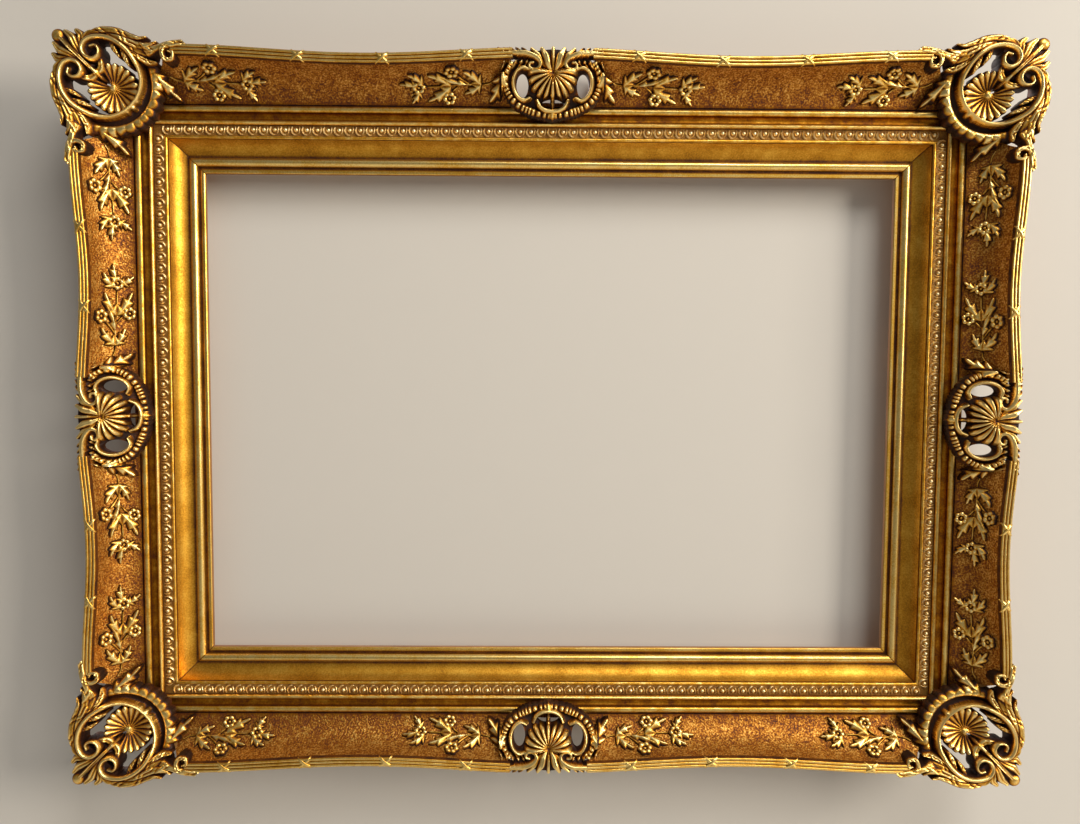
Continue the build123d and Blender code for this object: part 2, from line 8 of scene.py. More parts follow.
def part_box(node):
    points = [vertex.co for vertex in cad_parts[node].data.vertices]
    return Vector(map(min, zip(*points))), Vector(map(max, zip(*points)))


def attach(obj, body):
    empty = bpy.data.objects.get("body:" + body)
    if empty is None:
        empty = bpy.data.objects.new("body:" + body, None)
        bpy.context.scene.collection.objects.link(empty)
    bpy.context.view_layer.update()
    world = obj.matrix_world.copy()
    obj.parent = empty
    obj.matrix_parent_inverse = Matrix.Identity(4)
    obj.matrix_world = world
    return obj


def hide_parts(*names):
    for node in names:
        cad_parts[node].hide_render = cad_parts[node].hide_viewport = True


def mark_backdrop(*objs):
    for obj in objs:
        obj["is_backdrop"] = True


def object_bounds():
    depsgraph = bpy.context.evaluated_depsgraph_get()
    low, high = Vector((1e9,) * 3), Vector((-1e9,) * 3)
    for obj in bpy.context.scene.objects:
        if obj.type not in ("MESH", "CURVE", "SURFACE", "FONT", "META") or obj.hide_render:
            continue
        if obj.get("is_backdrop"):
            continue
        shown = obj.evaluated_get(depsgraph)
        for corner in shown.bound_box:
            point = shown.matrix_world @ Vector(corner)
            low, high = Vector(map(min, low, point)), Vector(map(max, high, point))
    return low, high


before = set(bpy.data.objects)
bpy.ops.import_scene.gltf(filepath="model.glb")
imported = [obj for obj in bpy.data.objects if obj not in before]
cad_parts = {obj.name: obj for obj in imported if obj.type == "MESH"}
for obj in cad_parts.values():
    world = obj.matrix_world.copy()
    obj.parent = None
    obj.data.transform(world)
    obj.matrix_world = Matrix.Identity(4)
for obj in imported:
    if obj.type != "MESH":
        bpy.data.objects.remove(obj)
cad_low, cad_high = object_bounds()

# The four rails: pine mouldings mitred at the corners, with a lip over the slip, a groove, two small
# fillets, a hollow and a deep cove that swells and narrows with the wavy outer edge. The face is water
# gilded over red bole, the cove is sanded before gilding, the sides are washed with ochre, the back is bare.
SIDES = ("top", "right", "bottom", "left")
PAIRS = {"top": ("top", "bottom"), "right": ("right", "left")}
# In millimetres: offsets go outwards from the sight edge, heights go forwards from the backs of the rails
HALF_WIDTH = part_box("slip_right")[0].x * 1000
HALF_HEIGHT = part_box("slip_top")[0].z * 1000
WALL_GAP = -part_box("top_rail")[1].y * 1000
EDGE_HEIGHT = -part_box("reed_edge_top_left")[1].y * 1000 - WALL_GAP
MEAN_EDGE = 82.3
EDGE_SWELL = 2.7
WAVE_OVERRUN = 12.0
NOTCH_HALF = 32.0
NOTCH_OFFSET = 52.0
CLIP_ON_DIAGONAL = 64.0
REBATE = (31.0, 26.6)
LIP = (24.0, 28.9)
GROOVE = (26.4, 34.2)
GROOVE_FLOOR = 28.4
FACE_LEVEL = 29.6
INNER_FILLET = (34.2, 37.6)
OUTER_FILLET = (43.6, 48.8)
COVE_FOOT = (49.8, 30.4)
COVE_BOW = 13.0
COVE_SEAM = 0.065
COVE_TUCK = 0.4
REED_WIDTH = 7.6
GRIME_PATCH = 45.0
GILT, OCHRE, BARE = 0, 1, 2


def linear(code):
    """A colour written as sRGB hex, as the linear values that a shader takes."""
    parts = [int(code[i:i + 2], 16) / 255 for i in (1, 3, 5)]
    return tuple(p / 12.92 if p <= 0.04045 else ((p + 0.055) / 1.055) ** 2.4 for p in parts) + (1.0,)


def add(tree, kind, inputs=None, stops=(), **settings):
    """A new node with its settings, its inputs as values or links, and a ramp's stops as (place, hex)."""
    node = tree.nodes.new(kind)
    for name, value in settings.items():
        setattr(node, name, value)
    for key, given in (inputs or {}).items():
        for value in given if isinstance(given, list) else [given]:
            if isinstance(value, bpy.types.Node):
                value = value.outputs[0]
            if isinstance(value, bpy.types.NodeSocket):
                tree.links.new(value, node.inputs[key])
            else:
                node.inputs[key].default_value = value
    for _ in stops[2:]:
        node.color_ramp.elements.new(0.5)
    for i, (place, code) in enumerate(stops):
        node.color_ramp.elements[i].position = place
        node.color_ramp.elements[i].color = linear(code)
    return node


def surface(name):
    """A new material with an empty node tree."""
    made = bpy.data.materials.new(name)
    made.use_nodes = True
    made.node_tree.nodes.clear()
    return made, made.node_tree


def gilding(name, stops, rough, patch, grain, depth, sanded=None):
    """Aged gilding: painted highlight and wear where it stands out, painted shade and old size in recesses,
    with patches and grain of a size in mm.
    """
    made, tree = surface(name)
    place = add(tree, "ShaderNodeTexCoord").outputs["Object"]
    relief = add(tree, "ShaderNodeAttribute", attribute_name="relief").outputs["Fac"]
    mottle = add(tree, "ShaderNodeTexNoise", {
        "Vector": place, "Scale": 1000 / patch, "Detail": 5.0, "Roughness": 0.62,
    })
    fine = add(tree, "ShaderNodeTexNoise", {
        "Vector": place, "Scale": 1000 / grain, "Detail": 2.0, "Roughness": 0.5,
    })
    spread = add(tree, "ShaderNodeMath", {0: mottle, 1: 0.75, 2: -0.375}, operation="MULTIPLY_ADD")
    speck = add(tree, "ShaderNodeMath", {0: fine, 1: 0.45, 2: -0.225}, operation="MULTIPLY_ADD")
    # The relief values paint highlight on what stands out and shade in recesses, on top of real wear; the
    # mottled patches are real
    wear_and_shade = add(tree, "ShaderNodeMath", {0: relief, 1: spread}, operation="ADD")
    coarse = 1.0
    if sanded:
        sand = add(tree, "ShaderNodeAttribute", attribute_name="sand").outputs["Fac"]
        coarse = add(tree, "ShaderNodeMapRange", {0: sand, 3: 0.7, 4: 3.0})
        depth = add(tree, "ShaderNodeMapRange", {0: sand, 3: depth * 0.25, 4: depth})
    tone = add(
        tree, "ShaderNodeMath", {0: speck, 1: coarse, 2: wear_and_shade}, operation="MULTIPLY_ADD", use_clamp=True,
    )
    colour = add(tree, "ShaderNodeValToRGB", {"Fac": tone}, stops)
    if sanded:
        sandy = add(tree, "ShaderNodeValToRGB", {"Fac": tone}, sanded)
        colour = add(tree, "ShaderNodeMix", {0: sand, 6: colour, 7: sandy}, data_type="RGBA").outputs[2]
    shader = add(tree, "ShaderNodeBsdfPrincipled", {
        "Base Color": colour,
        "Metallic": add(tree, "ShaderNodeMapRange", {0: tone, 1: 0.12, 2: 0.45, 3: 0.35, 4: 1.0}),
        "Roughness": add(tree, "ShaderNodeMapRange", {0: tone, 3: rough + 0.3, 4: rough}),
        "Normal": add(tree, "ShaderNodeBump", {"Strength": 0.6, "Distance": depth, "Height": fine}),
    })
    add(tree, "ShaderNodeOutputMaterial", {"Surface": shader})
    return made


def softwood(name, dark, light, rough, lines):
    """Plain softwood: grain with so many lines to a metre each way, and grime in large patches."""
    made, tree = surface(name)
    place = add(tree, "ShaderNodeTexCoord").outputs["Object"]
    drawn = add(tree, "ShaderNodeMapping", {"Vector": place, "Scale": lines})
    grain = add(tree, "ShaderNodeTexNoise", {"Vector": drawn, "Scale": 1.0, "Detail": 6.0})
    grime = add(tree, "ShaderNodeTexNoise", {
        "Vector": place, "Scale": 1000 / GRIME_PATCH, "Detail": 4.0, "Roughness": 0.55,
    })
    faint = add(tree, "ShaderNodeMath", {0: grime, 1: 0.4}, operation="MULTIPLY")
    tone = add(tree, "ShaderNodeMath", {0: grain, 1: 0.7, 2: faint}, operation="MULTIPLY_ADD", use_clamp=True)
    shader = add(tree, "ShaderNodeBsdfPrincipled", {
        "Base Color": add(tree, "ShaderNodeValToRGB", {"Fac": tone}, [(0.3, dark), (0.75, light)]),
        "Roughness": rough,
        "Normal": add(tree, "ShaderNodeBump", {"Strength": 0.4, "Distance": 0.0003, "Height": grain}),
    })
    add(tree, "ShaderNodeOutputMaterial", {"Surface": shader})
    return made


def half_length(side):
    """Half of the sight edge along one side."""
    return HALF_WIDTH if side in PAIRS["top"] else HALF_HEIGHT


def edge_at(along, half):
    """Offset of the wavy outer edge along a rail."""
    return MEAN_EDGE + EDGE_SWELL * np.cos(2 * pi * along / (half + WAVE_OVERRUN))


def placed(side, along, offset, height):
    """A place on a rail, from millimetres along, outwards and forwards, in metres in the shared frame."""
    along, offset, height = np.broadcast_arrays(along, offset, height)
    depth = -(WALL_GAP + height)
    spots = {
        "top": (along, depth, HALF_HEIGHT + offset),
        "right": (HALF_WIDTH + offset, depth, -along),
        "bottom": (along, depth, -(HALF_HEIGHT + offset)),
        "left": (-(HALF_WIDTH + offset), depth, -along),
    }
    return np.stack(spots[side], axis=-1).reshape(-1, 3) / 1000


def turned(side, mirrored=False):
    """Whether laying a shape on this side, mirrored or not, turns it inside out."""
    return (side in ("bottom", "left")) != mirrored


def in_scene(name, data):
    """A new object at the origin of the scene."""
    made = bpy.data.objects.new(name, data)
    bpy.context.collection.objects.link(made)
    return made


def mark(mesh, values):
    """Named values for each point of a mesh, for the materials to read."""
    for name, value in values.items():
        layer = mesh.attributes.new(name, "FLOAT", "POINT")
        layer.data.foreach_set("value", np.asarray(value, dtype=np.float32))


def piece(name, points, faces, materials, flip=False, crease=35.0, shares=None, **values):
    """A smooth-shaded mesh object, with a share of the materials for each face and values for each point."""
    mesh = bpy.data.meshes.new(name)
    mesh.from_pydata(np.asarray(points).tolist(), [], [list(f) for f in faces])
    if flip:
        mesh.flip_normals()
    for made in materials:
        mesh.materials.append(made)
    if shares is not None:
        mesh.polygons.foreach_set("material_index", np.asarray(shares, dtype=np.int32))
    mark(mesh, values)
    mesh.shade_smooth()
    mesh.set_sharp_from_angle(angle=radians(crease))
    mesh.update()
    return in_scene(name, mesh)


def settle(made, slot, *nodes, body="frame"):
    """The piece stands for its CAD nodes and moves with their body."""
    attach(made, body)
    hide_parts(*nodes)
    return made


def bow(start, end, rise, count):
    """Points on an arc from start to end that rises by so much at its middle, and is round if it is high."""
    t = np.linspace(0, 1, count)
    run = np.subtract(end, start)
    length = np.hypot(*run)
    normal = np.array([-run[1], run[0]]) / length
    lift = 4 * rise * t * (1 - t)
    if abs(rise) > 0.35 * length:
        angle = pi * t
        t = (1 - np.cos(angle)) / 2
        lift = rise * np.sin(angle)
    return np.outer(1 - t, start) + np.outer(t, end) + np.outer(lift, normal)


def rail_face():
    """The face of a rail up to the foot of the cove: (offset, height) and relief for each point."""
    groove = [(x, GROOVE_FLOOR) for x in GROOVE]
    quirk = FACE_LEVEL - 0.2
    # Relief values: painted shade in the groove and in the quirk at the foot of the cove, where shadow falls
    runs = [
        ([(LIP[0], REBATE[1]), LIP], 0.35),
        (bow(LIP, (26.2, 29.2), 0.7, 6), 0.75),
        ([(GROOVE[0], LIP[1]), *groove, (GROOVE[1], FACE_LEVEL)], 0.1),
        (bow((INNER_FILLET[0], FACE_LEVEL), (INNER_FILLET[1], FACE_LEVEL), 3.2, 9), 0.8),
        (bow((INNER_FILLET[1], FACE_LEVEL), (OUTER_FILLET[0], FACE_LEVEL), -2.7, 9)[1:-1], 0.46),
        (bow((OUTER_FILLET[0], FACE_LEVEL), (OUTER_FILLET[1], FACE_LEVEL), 2.3, 11), 0.8),
        ([(48.9, quirk), (49.7, quirk)], 0.1),
        ([COVE_FOOT], 0.35),
    ]
    spots = np.concatenate([np.asarray(run, float) for run, _ in runs])
    tones = np.concatenate([np.full(len(run), tone) for run, tone in runs])
    # Each fillet is painted from shade at its foot to a highlight on its crown
    for start, end in (INNER_FILLET, OUTER_FILLET):
        on = (spots[:, 0] >= start) & (spots[:, 0] <= end)
        tones[on] = np.interp(spots[on, 1] - FACE_LEVEL, [0.0, 1.0, 2.3], [0.12, 0.6, 0.88])
    return spots, tones


def cove_places(t, edge):
    """Offset and height up the cove, from its foot at 0 to the inner side of the reeds at 1."""
    offset = COVE_FOOT[0] + t * (edge - REED_WIDTH - COVE_FOOT[0]) + COVE_BOW * t * (1 - t)
    height = COVE_FOOT[1] + t * (EDGE_HEIGHT + COVE_TUCK - COVE_FOOT[1]) - COVE_BOW * t * (1 - t)
    return offset, height


def grid_faces(rows, columns, start=0):
    """Quads between neighbouring rows and columns of a grid of points."""
    i = np.arange(rows - 1)[:, None] * columns + np.arange(columns - 1)[None, :] + start
    return np.stack([i, i + columns, i + columns + 1, i + 1], axis=-1).reshape(-1, 4)


def rail(side, materials):
    """One rail: an inner bar along its whole length, and an outer bar on each side of the notch."""
    half = half_length(side)
    steps = np.linspace(0, 1, 57)
    points, faces, shares, relief, sand = [], [], [], [], []

    def plain(offset, height, tone):
        """A straight row: its offset for an outer edge, its height, its relief and its sand."""
        return (lambda edge: offset), height, tone, 0.0

    def coved(t):
        """A row on the sanded cove, which swells with the outer edge."""
        return (lambda edge: cove_places(t, edge)[0]), cove_places(t, MEAN_EDGE)[1], 0.35 + 0.2 * t, 1.0

    def sheet(rows, sign, share):
        """A grid of rows from the notch to the mitre on one side, or across the notch where the sign is 0."""
        first = sum(len(p) for p in points)
        start = (sign or -1) * NOTCH_HALF
        for offset_at, height, tone, grit in rows:
            offset = offset_at(MEAN_EDGE)
            end = sign * (half + min(offset, CLIP_ON_DIAGONAL * sqrt(2) - offset)) if sign else NOTCH_HALF
            along = start + (end - start) * steps
            points.append(placed(side, along, offset_at(edge_at(along, half)), height))
            relief.append(np.full(len(steps), tone))
            sand.append(np.full(len(steps), grit))
        cells = grid_faces(len(rows), len(steps), first)
        faces.extend(cells[:, ::-1] if sign < 0 else cells)
        shares.extend(np.repeat(share, len(steps) - 1))
        return np.arange(first, first + len(rows) * len(steps)).reshape(len(rows), len(steps))

    back = [plain(NOTCH_OFFSET, 0.0, 0.3), plain(REBATE[0], 0.0, 0.5), plain(*REBATE, 0.3)]
    front = [plain(*spot, tone) for spot, tone in zip(*rail_face())]
    inner = [*back, *front, coved(COVE_SEAM)]
    inner_share = [BARE] * len(back) + [GILT] * len(front)
    climb = [coved(t) for t in np.linspace(COVE_SEAM, 1, 15)]
    outer_side = [((lambda edge: edge), height, 0.3, 0.0) for height in (EDGE_HEIGHT, 0.0)]
    outer = [*climb, *outer_side, back[0]]
    outer_share = [GILT] * len(climb) + [OCHRE, BARE]
    for sign in (-1, 1):
        bar = sheet(inner, sign, inner_share)
        flank = sheet(outer, sign, outer_share)
        notch_end = flank[:, 0]
        mitre_end = np.concatenate([bar[:, -1], flank[1:-1, -1]])
        faces.extend([notch_end[::sign], mitre_end[::-sign]])
        shares.extend([OCHRE, OCHRE])
    sheet([*inner, back[0]], 0, [*inner_share, OCHRE])
    return piece(
        side + "_rail_gilded", np.concatenate(points), faces, materials, turned(side),
        shares=shares, relief=np.concatenate(relief), sand=np.concatenate(sand),
    )


# Water gilding over red bole: bright where it is rubbed and with painted highlight on what stands out, red
# brown in the hollows from bole and dirt and from painted shade. The sand under the gold of the cove, drawn
# as coarse as
# 1.35 mm so that it shows, breaks the shine into specks. On the other gilded pieces the grain of the ground
# is finer still, and is drawn at about 1 mm for the same reason.
GOLD = [(0.05, "#260D03"), (0.3, "#6B350B"), (0.52, "#B4761C"), (0.74, "#E2AA3E"), (0.95, "#FBDC86")]
SANDED = [(0.1, "#54270B"), (0.32, "#8C4E18"), (0.52, "#BE8032"), (0.8, "#EABA66")]
rail_gold = gilding("rail_gilding", GOLD, rough=0.34, patch=9.0, grain=1.35, depth=0.0009, sanded=SANDED)
# Pine, bare and under a thin ochre wash: matt, with grain lines 2.4 mm apart and 38 mm long along each rail
ACROSS_GRAIN = 420.0
ALONG_GRAIN = 26.0
GRAINS = {
    "level": (ALONG_GRAIN, ACROSS_GRAIN, ACROSS_GRAIN),
    "upright": (ACROSS_GRAIN, ACROSS_GRAIN, ALONG_GRAIN),
}
rail_woods = {}
for sides, (way, lines) in zip(PAIRS.values(), GRAINS.items()):
    ochre = softwood("rail_ochre_side_" + way, "#5A3A18", "#9A6C2C", 0.75, lines)
    bare = softwood("rail_bare_pine_" + way, "#6B4526", "#A9794A", 0.85, lines)
    for side in sides:
        rail_woods[side] = [ochre, bare]
for side in SIDES:
    settle(rail(side, [rail_gold, *rail_woods[side]]), "gilded_wood", side + "_rail")

# Corner keys: thin slips of bare pine glued in saw cuts across the backs of the four mitres, which keep
# the joints shut. They were trimmed flush and have darkened with the back of the rails.
def welded(node, name, made_of, round_off=0.0):
    """A CAD node's shape as a mesh of its own, with whole flat faces, its sharp edges rounded by some mm."""
    shape = bmesh.new()
    shape.from_mesh(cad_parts[node].data)
    bmesh.ops.remove_doubles(shape, verts=shape.verts, dist=0.000005)
    bmesh.ops.dissolve_limit(shape, angle_limit=radians(0.5), verts=shape.verts, edges=shape.edges)
    if round_off:
        sharp = [e for e in shape.edges if len(e.link_faces) == 2 and e.calc_face_angle() > radians(40)]
        bmesh.ops.bevel(shape, geom=sharp, offset=round_off / 1000, segments=2, affect="EDGES", profile=0.6)
    mesh = bpy.data.meshes.new(name)
    shape.to_mesh(mesh)
    shape.free()
    mesh.materials.clear()
    mesh.materials.append(made_of)
    mesh.shade_smooth()
    mesh.set_sharp_from_angle(angle=radians(40))
    return in_scene(name, mesh)


settle(welded("corner_keys", "mitre_keys", rail_woods["top"][1]), "bare_wood", "corner_keys")

# The leaf-tip strips: a band of pressed composition glued in the groove of each rail. Every unit is a
# pearl held between a long curled leaf and a short one, and the units follow each other about 8 mm apart.
STRIP_PITCH = 8.3
STRIP_BED = 0.7
STRIP_PLAY = 0.05
STRIP_OVERRUN = 1.5
PEARL = ((0.5, 4.4), 1.9, 2.7)
# Places along and across the strip and up from it, with the width and the rise of the leaf there
LONG_LEAF = [
    (-2.6, 7.0, 0.0, 1.2, 1.2), (-3.1, 4.6, 0.0, 2.0, 2.4), (-2.6, 2.2, 0.0, 2.1, 2.5),
    (-1.0, 0.9, 0.0, 1.8, 1.8), (0.8, 0.8, 0.0, 0.8, 0.7),
]
SHORT_LEAF = [
    (2.9, 7.0, 0.0, 0.9, 1.0), (3.3, 5.2, 0.0, 1.6, 2.0), (3.0, 3.2, 0.0, 1.6, 1.9),
    (2.2, 1.8, 0.0, 0.8, 0.8),
]
LEAF_SECTION = [(-1.0, 0.0), (-0.7, 0.7), (0.0, 1.0), (0.7, 0.7), (1.0, 0.0)]
BAR_FACES = [(4, 5, 6, 7), (3, 2, 1, 0), (0, 1, 5, 4), (1, 2, 6, 5), (2, 3, 7, 6), (3, 0, 4, 7)]


def dome(centre, radius, rise, around=8):
    """A pearl: its points, faces and relief values."""
    rings = [(1.0, 0.0), (0.86, 0.55), (0.45, 0.9)]
    turns = [(cos(g), sin(g)) for g in np.arange(around) * 2 * pi / around]
    points = []
    for r, h in rings:
        points += [(centre[0] + radius * r * x, centre[1] + radius * r * y, rise * h) for x, y in turns]
    points.append((*centre, rise))
    faces = []
    for ring in range(len(rings)):
        for i in range(around):
            low, low_next = ring * around + i, ring * around + (i + 1) % around
            if ring + 1 < len(rings):
                faces.append((low, low_next, low_next + around, low + around))
            else:
                faces.append((low, low_next, len(points) - 1))
    # Relief values: painted highlight on the crown of the pearl, painted shade at its foot
    return points, faces, [0.25 + 0.7 * p[2] / rise for p in points]


def swept(rows, section, shine, closed):
    """A section swept along rows of (u, v, w, width, rise): its points, faces and relief values."""
    rows = np.asarray(rows, float)
    run = np.gradient(rows[:, :2], axis=0)
    aside = np.stack([-run[:, 1], run[:, 0]], axis=1) / np.hypot(run[:, 0], run[:, 1])[:, None]
    points, values, faces = [], [], []
    for (u, v, w, width, rise), side in zip(rows, aside):
        for across, up in section:
            points.append((*((u, v) + side * width / 2 * across), w + rise * up))
            # Relief values: painted highlight on the top of the section, painted shade down its sides
            values.append(0.3 + shine * max(up, 0.0))
    n = len(section)
    for k in range(0, len(points) - n, n):
        faces += [(j, j + n, j + n + 1, j + 1) for j in range(k, k + n - 1)]
        if closed:
            faces.append((k + n - 1, k + 2 * n - 1, k + n, k))
    faces += [tuple(range(n)), tuple(range(len(points) - n, len(points)))[::-1]]
    return points, faces, values


def joined(*shapes):
    """Several lists of points, faces and relief values as one."""
    points, faces, values = [], [], []
    for p, f, v in shapes:
        faces += [tuple(i + len(points) for i in face) for face in f]
        points += list(p)
        values += list(v)
    return np.array(points), faces, values


def node_tree(name, **sockets):
    """A geometry tree with named inputs, and its input sockets."""
    tree = bpy.data.node_groups.new(name, "GeometryNodeTree")
    for label, kind in {"Geometry": "Geometry", **sockets}.items():
        tree.interface.new_socket(label, in_out="INPUT", socket_type="NodeSocket" + kind)
    tree.interface.new_socket("Geometry", in_out="OUTPUT", socket_type="NodeSocketGeometry")
    return tree, add(tree, "NodeGroupInput").outputs


def grown(made, tree, **values):
    """Runs a tree on an object with its inputs set, and returns the shape as a mesh of its own."""
    modifier = made.modifiers.new(tree.name, "NODES")
    modifier.node_group = tree
    for item in tree.interface.items_tree:
        if item.in_out == "INPUT" and item.name in values:
            modifier[item.identifier] = values[item.name]
    made.update_tag()
    graph = bpy.context.evaluated_depsgraph_get()
    mesh = bpy.data.meshes.new_from_object(made.evaluated_get(graph), depsgraph=graph)
    bpy.data.objects.remove(made)
    return mesh


def onto_rail(mesh, name, side, mirrored, made_of):
    """A shape made in millimetres along, outwards and forwards, laid on one rail."""
    spots = np.empty(len(mesh.vertices) * 3, dtype=np.float32)
    mesh.vertices.foreach_get("co", spots)
    along, offset, height = spots.reshape(-1, 3).T
    relief = np.empty(len(mesh.vertices), dtype=np.float32)
    mesh.attributes["relief"].data.foreach_get("value", relief)
    faces = [tuple(p.vertices) for p in mesh.polygons]
    spots = placed(side, -along if mirrored else along, offset, height)
    return piece(name, spots, faces, [made_of], turned(side, mirrored), 60.0, relief=relief)


tree, given = node_tree("leaf_tip_strip", Unit="Object", Units="Int", Pitch="Float", Gilding="Material")
gaps = add(tree, "ShaderNodeMath", {0: given["Units"], 1: 1.0}, operation="SUBTRACT")
length = add(tree, "ShaderNodeMath", {0: gaps, 1: given["Pitch"]}, operation="MULTIPLY")
start = add(tree, "ShaderNodeMath", {0: length, 1: -0.5}, operation="MULTIPLY")
line = add(tree, "GeometryNodeMeshLine", {
    "Count": given["Units"],
    "Start Location": add(tree, "ShaderNodeCombineXYZ", {"X": start}),
    "Offset": add(tree, "ShaderNodeCombineXYZ", {"X": given["Pitch"]}),
})
units = add(tree, "GeometryNodeInstanceOnPoints", {
    "Points": line,
    "Instance": add(tree, "GeometryNodeObjectInfo", {"Object": given["Unit"]}).outputs["Geometry"],
})
real = add(tree, "GeometryNodeRealizeInstances", {0: units})
whole = add(tree, "GeometryNodeJoinGeometry", {0: [given["Geometry"], real]})
gilded = add(tree, "GeometryNodeSetMaterial", {"Geometry": whole, "Material": given["Gilding"]})
add(tree, "NodeGroupOutput", {0: gilded})
strip_tree = tree

# Gilded composition: pale gold points with painted highlight, on a brown ground of dirt and painted shade
# between the tips
STRIP_GOLD = [(0.05, "#46240A"), (0.22, "#8E6026"), (0.45, "#CE9E4C"), (0.7, "#F0CE86"), (0.95, "#FFF0C2")]
strip_gold = gilding("strip_gilding", STRIP_GOLD, rough=0.36, patch=7.0, grain=0.8, depth=0.0002)
leaves = [swept(leaf, LEAF_SECTION, 0.6, False) for leaf in (LONG_LEAF, SHORT_LEAF)]
points, faces, values = joined(dome(*PEARL), *leaves)
unit = piece("strip_unit", points + (0.0, GROOVE[0], GROOVE_FLOOR), faces, [], relief=values)
for long_side, sides in PAIRS.items():
    half = half_length(long_side)
    ends = [(sign * (half + GROOVE[0]), GROOVE[0] + STRIP_PLAY) for sign in (-1, 1)]
    ends += [(sign * (half + GROOVE[1]), GROOVE[1] - STRIP_PLAY) for sign in (1, -1)]
    levels = (GROOVE_FLOOR, GROOVE_FLOOR + STRIP_BED)
    bar_points = [(*end, level) for level in levels for end in ends]
    bar = piece("strip_bar", bar_points, BAR_FACES, [], relief=[0.26] * len(bar_points))
    run = 2 * (half + GROOVE[0] + STRIP_OVERRUN)
    count = round(run / STRIP_PITCH)
    shape = grown(bar, strip_tree, Unit=unit, Units=count, Pitch=run / count, Gilding=strip_gold)
    for side in sides:
        made = onto_rail(shape, "leaf_tips_" + side, side, False, strip_gold)
        settle(made, "gilded_composition", "leaf_strip_" + side)
bpy.data.objects.remove(unit)

# The reeded edges: three reeds bound by crossed ribbons, run along the wavy top of each rail from the
# centre cartouche to the corner. They are cast in lengths, glued on, and gilded and burnished bright.
REED_TOP = 5.2
REED_ROUND = 1.7
REED_PITCH = REED_WIDTH / 3
REED_START = 30.0
REED_OVERRUN = 8.0
RIBBON_WIDTH = 2.6
RIBBON_THICK = 0.5
RIBBON_SECTION = [(-1.0, -0.6), (-0.75, 0.75), (0.0, 1.0), (0.75, 0.75), (1.0, -0.6)]
RIBBON_HALF = [(0.0, 0.0, 5.3), (2.5, 1.9, 5.1), (4.7, 3.3, 4.3), (5.4, 3.7, 2.8)]
# For each long side: where its first and last ribbons lie on half a rail, and how many there are
RIBBONS = {"top": (64.0, 251.0, 4), "right": (83.0, 142.0, 2)}
RAIL_HALVES = {
    "top": [("top", "right"), ("top", "left"), ("bottom", "right"), ("bottom", "left")],
    "right": [("right", "lower"), ("right", "upper"), ("left", "lower"), ("left", "upper")],
}
MIRRORED_PARTS = ("left", "upper")

tree, given = node_tree(
    "reeds_and_ribbons", Section="Object", Ribbon="Object", First="Float", Last="Float", Ribbons="Int",
    Gilding="Material",
)
path = add(tree, "GeometryNodeMeshToCurve", {"Mesh": given["Geometry"]})
path = add(tree, "GeometryNodeSetCurveNormal", {"Curve": path}, mode="Z_UP")
outline = add(tree, "GeometryNodeObjectInfo", {"Object": given["Section"]}).outputs["Geometry"]
outline = add(tree, "GeometryNodeMeshToCurve", {"Mesh": outline})
reeds = add(tree, "GeometryNodeCurveToMesh", {"Curve": path, "Profile Curve": outline, "Fill Caps": True})
span = {"Curve": path, 4: given["First"], 5: given["Last"]}
bound = add(tree, "GeometryNodeTrimCurve", span, mode="LENGTH")
spots = add(tree, "GeometryNodeCurveToPoints", {"Curve": bound, "Count": given["Ribbons"]}, mode="COUNT")
tangent = spots.outputs["Tangent"]
ribbons = add(tree, "GeometryNodeInstanceOnPoints", {
    "Points": spots,
    "Instance": add(tree, "GeometryNodeObjectInfo", {"Object": given["Ribbon"]}).outputs["Geometry"],
    "Rotation": add(tree, "FunctionNodeAlignRotationToVector", {"Vector": tangent}, axis="X", pivot_axis="Z"),
})
real = add(tree, "GeometryNodeRealizeInstances", {0: ribbons})
whole = add(tree, "GeometryNodeJoinGeometry", {0: [reeds, real]})
gilded = add(tree, "GeometryNodeSetMaterial", {"Geometry": whole, "Material": given["Gilding"]})
add(tree, "NodeGroupOutput", {0: gilded})
reed_tree = tree


def wire(name, points, closed, **values):
    """A line of points for a tree to sweep or to follow, with values for each point."""
    mesh = bpy.data.meshes.new(name)
    links = [(i, (i + 1) % len(points)) for i in range(len(points))]
    mesh.from_pydata(points, links if closed else links[:-1], [])
    mark(mesh, values)
    return in_scene(name, mesh)


def reed_section():
    """The outline of three reeds side by side, closed underneath, and its relief values."""
    first, last = 0.12 * pi, 0.88 * pi
    spots, values = [], []
    for reed in (-1.0, 0.0, 1.0):
        for g in np.linspace(first, last, 9):
            across = REED_PITCH * (reed - 0.5 / cos(first) * cos(g))
            spots.append((across, -(REED_TOP - REED_ROUND + REED_ROUND * sin(g)), 0.0))
            # Painted highlight along the back of each reed, painted shade down into the gaps between the
            # reeds
            values.append(0.12 + 0.8 * (sin(g) - 0.37) / 0.63)
    spots += [(REED_WIDTH / 2, 0.0, 0.0), (-REED_WIDTH / 2, 0.0, 0.0)]
    return spots, values + [0.2, 0.2]


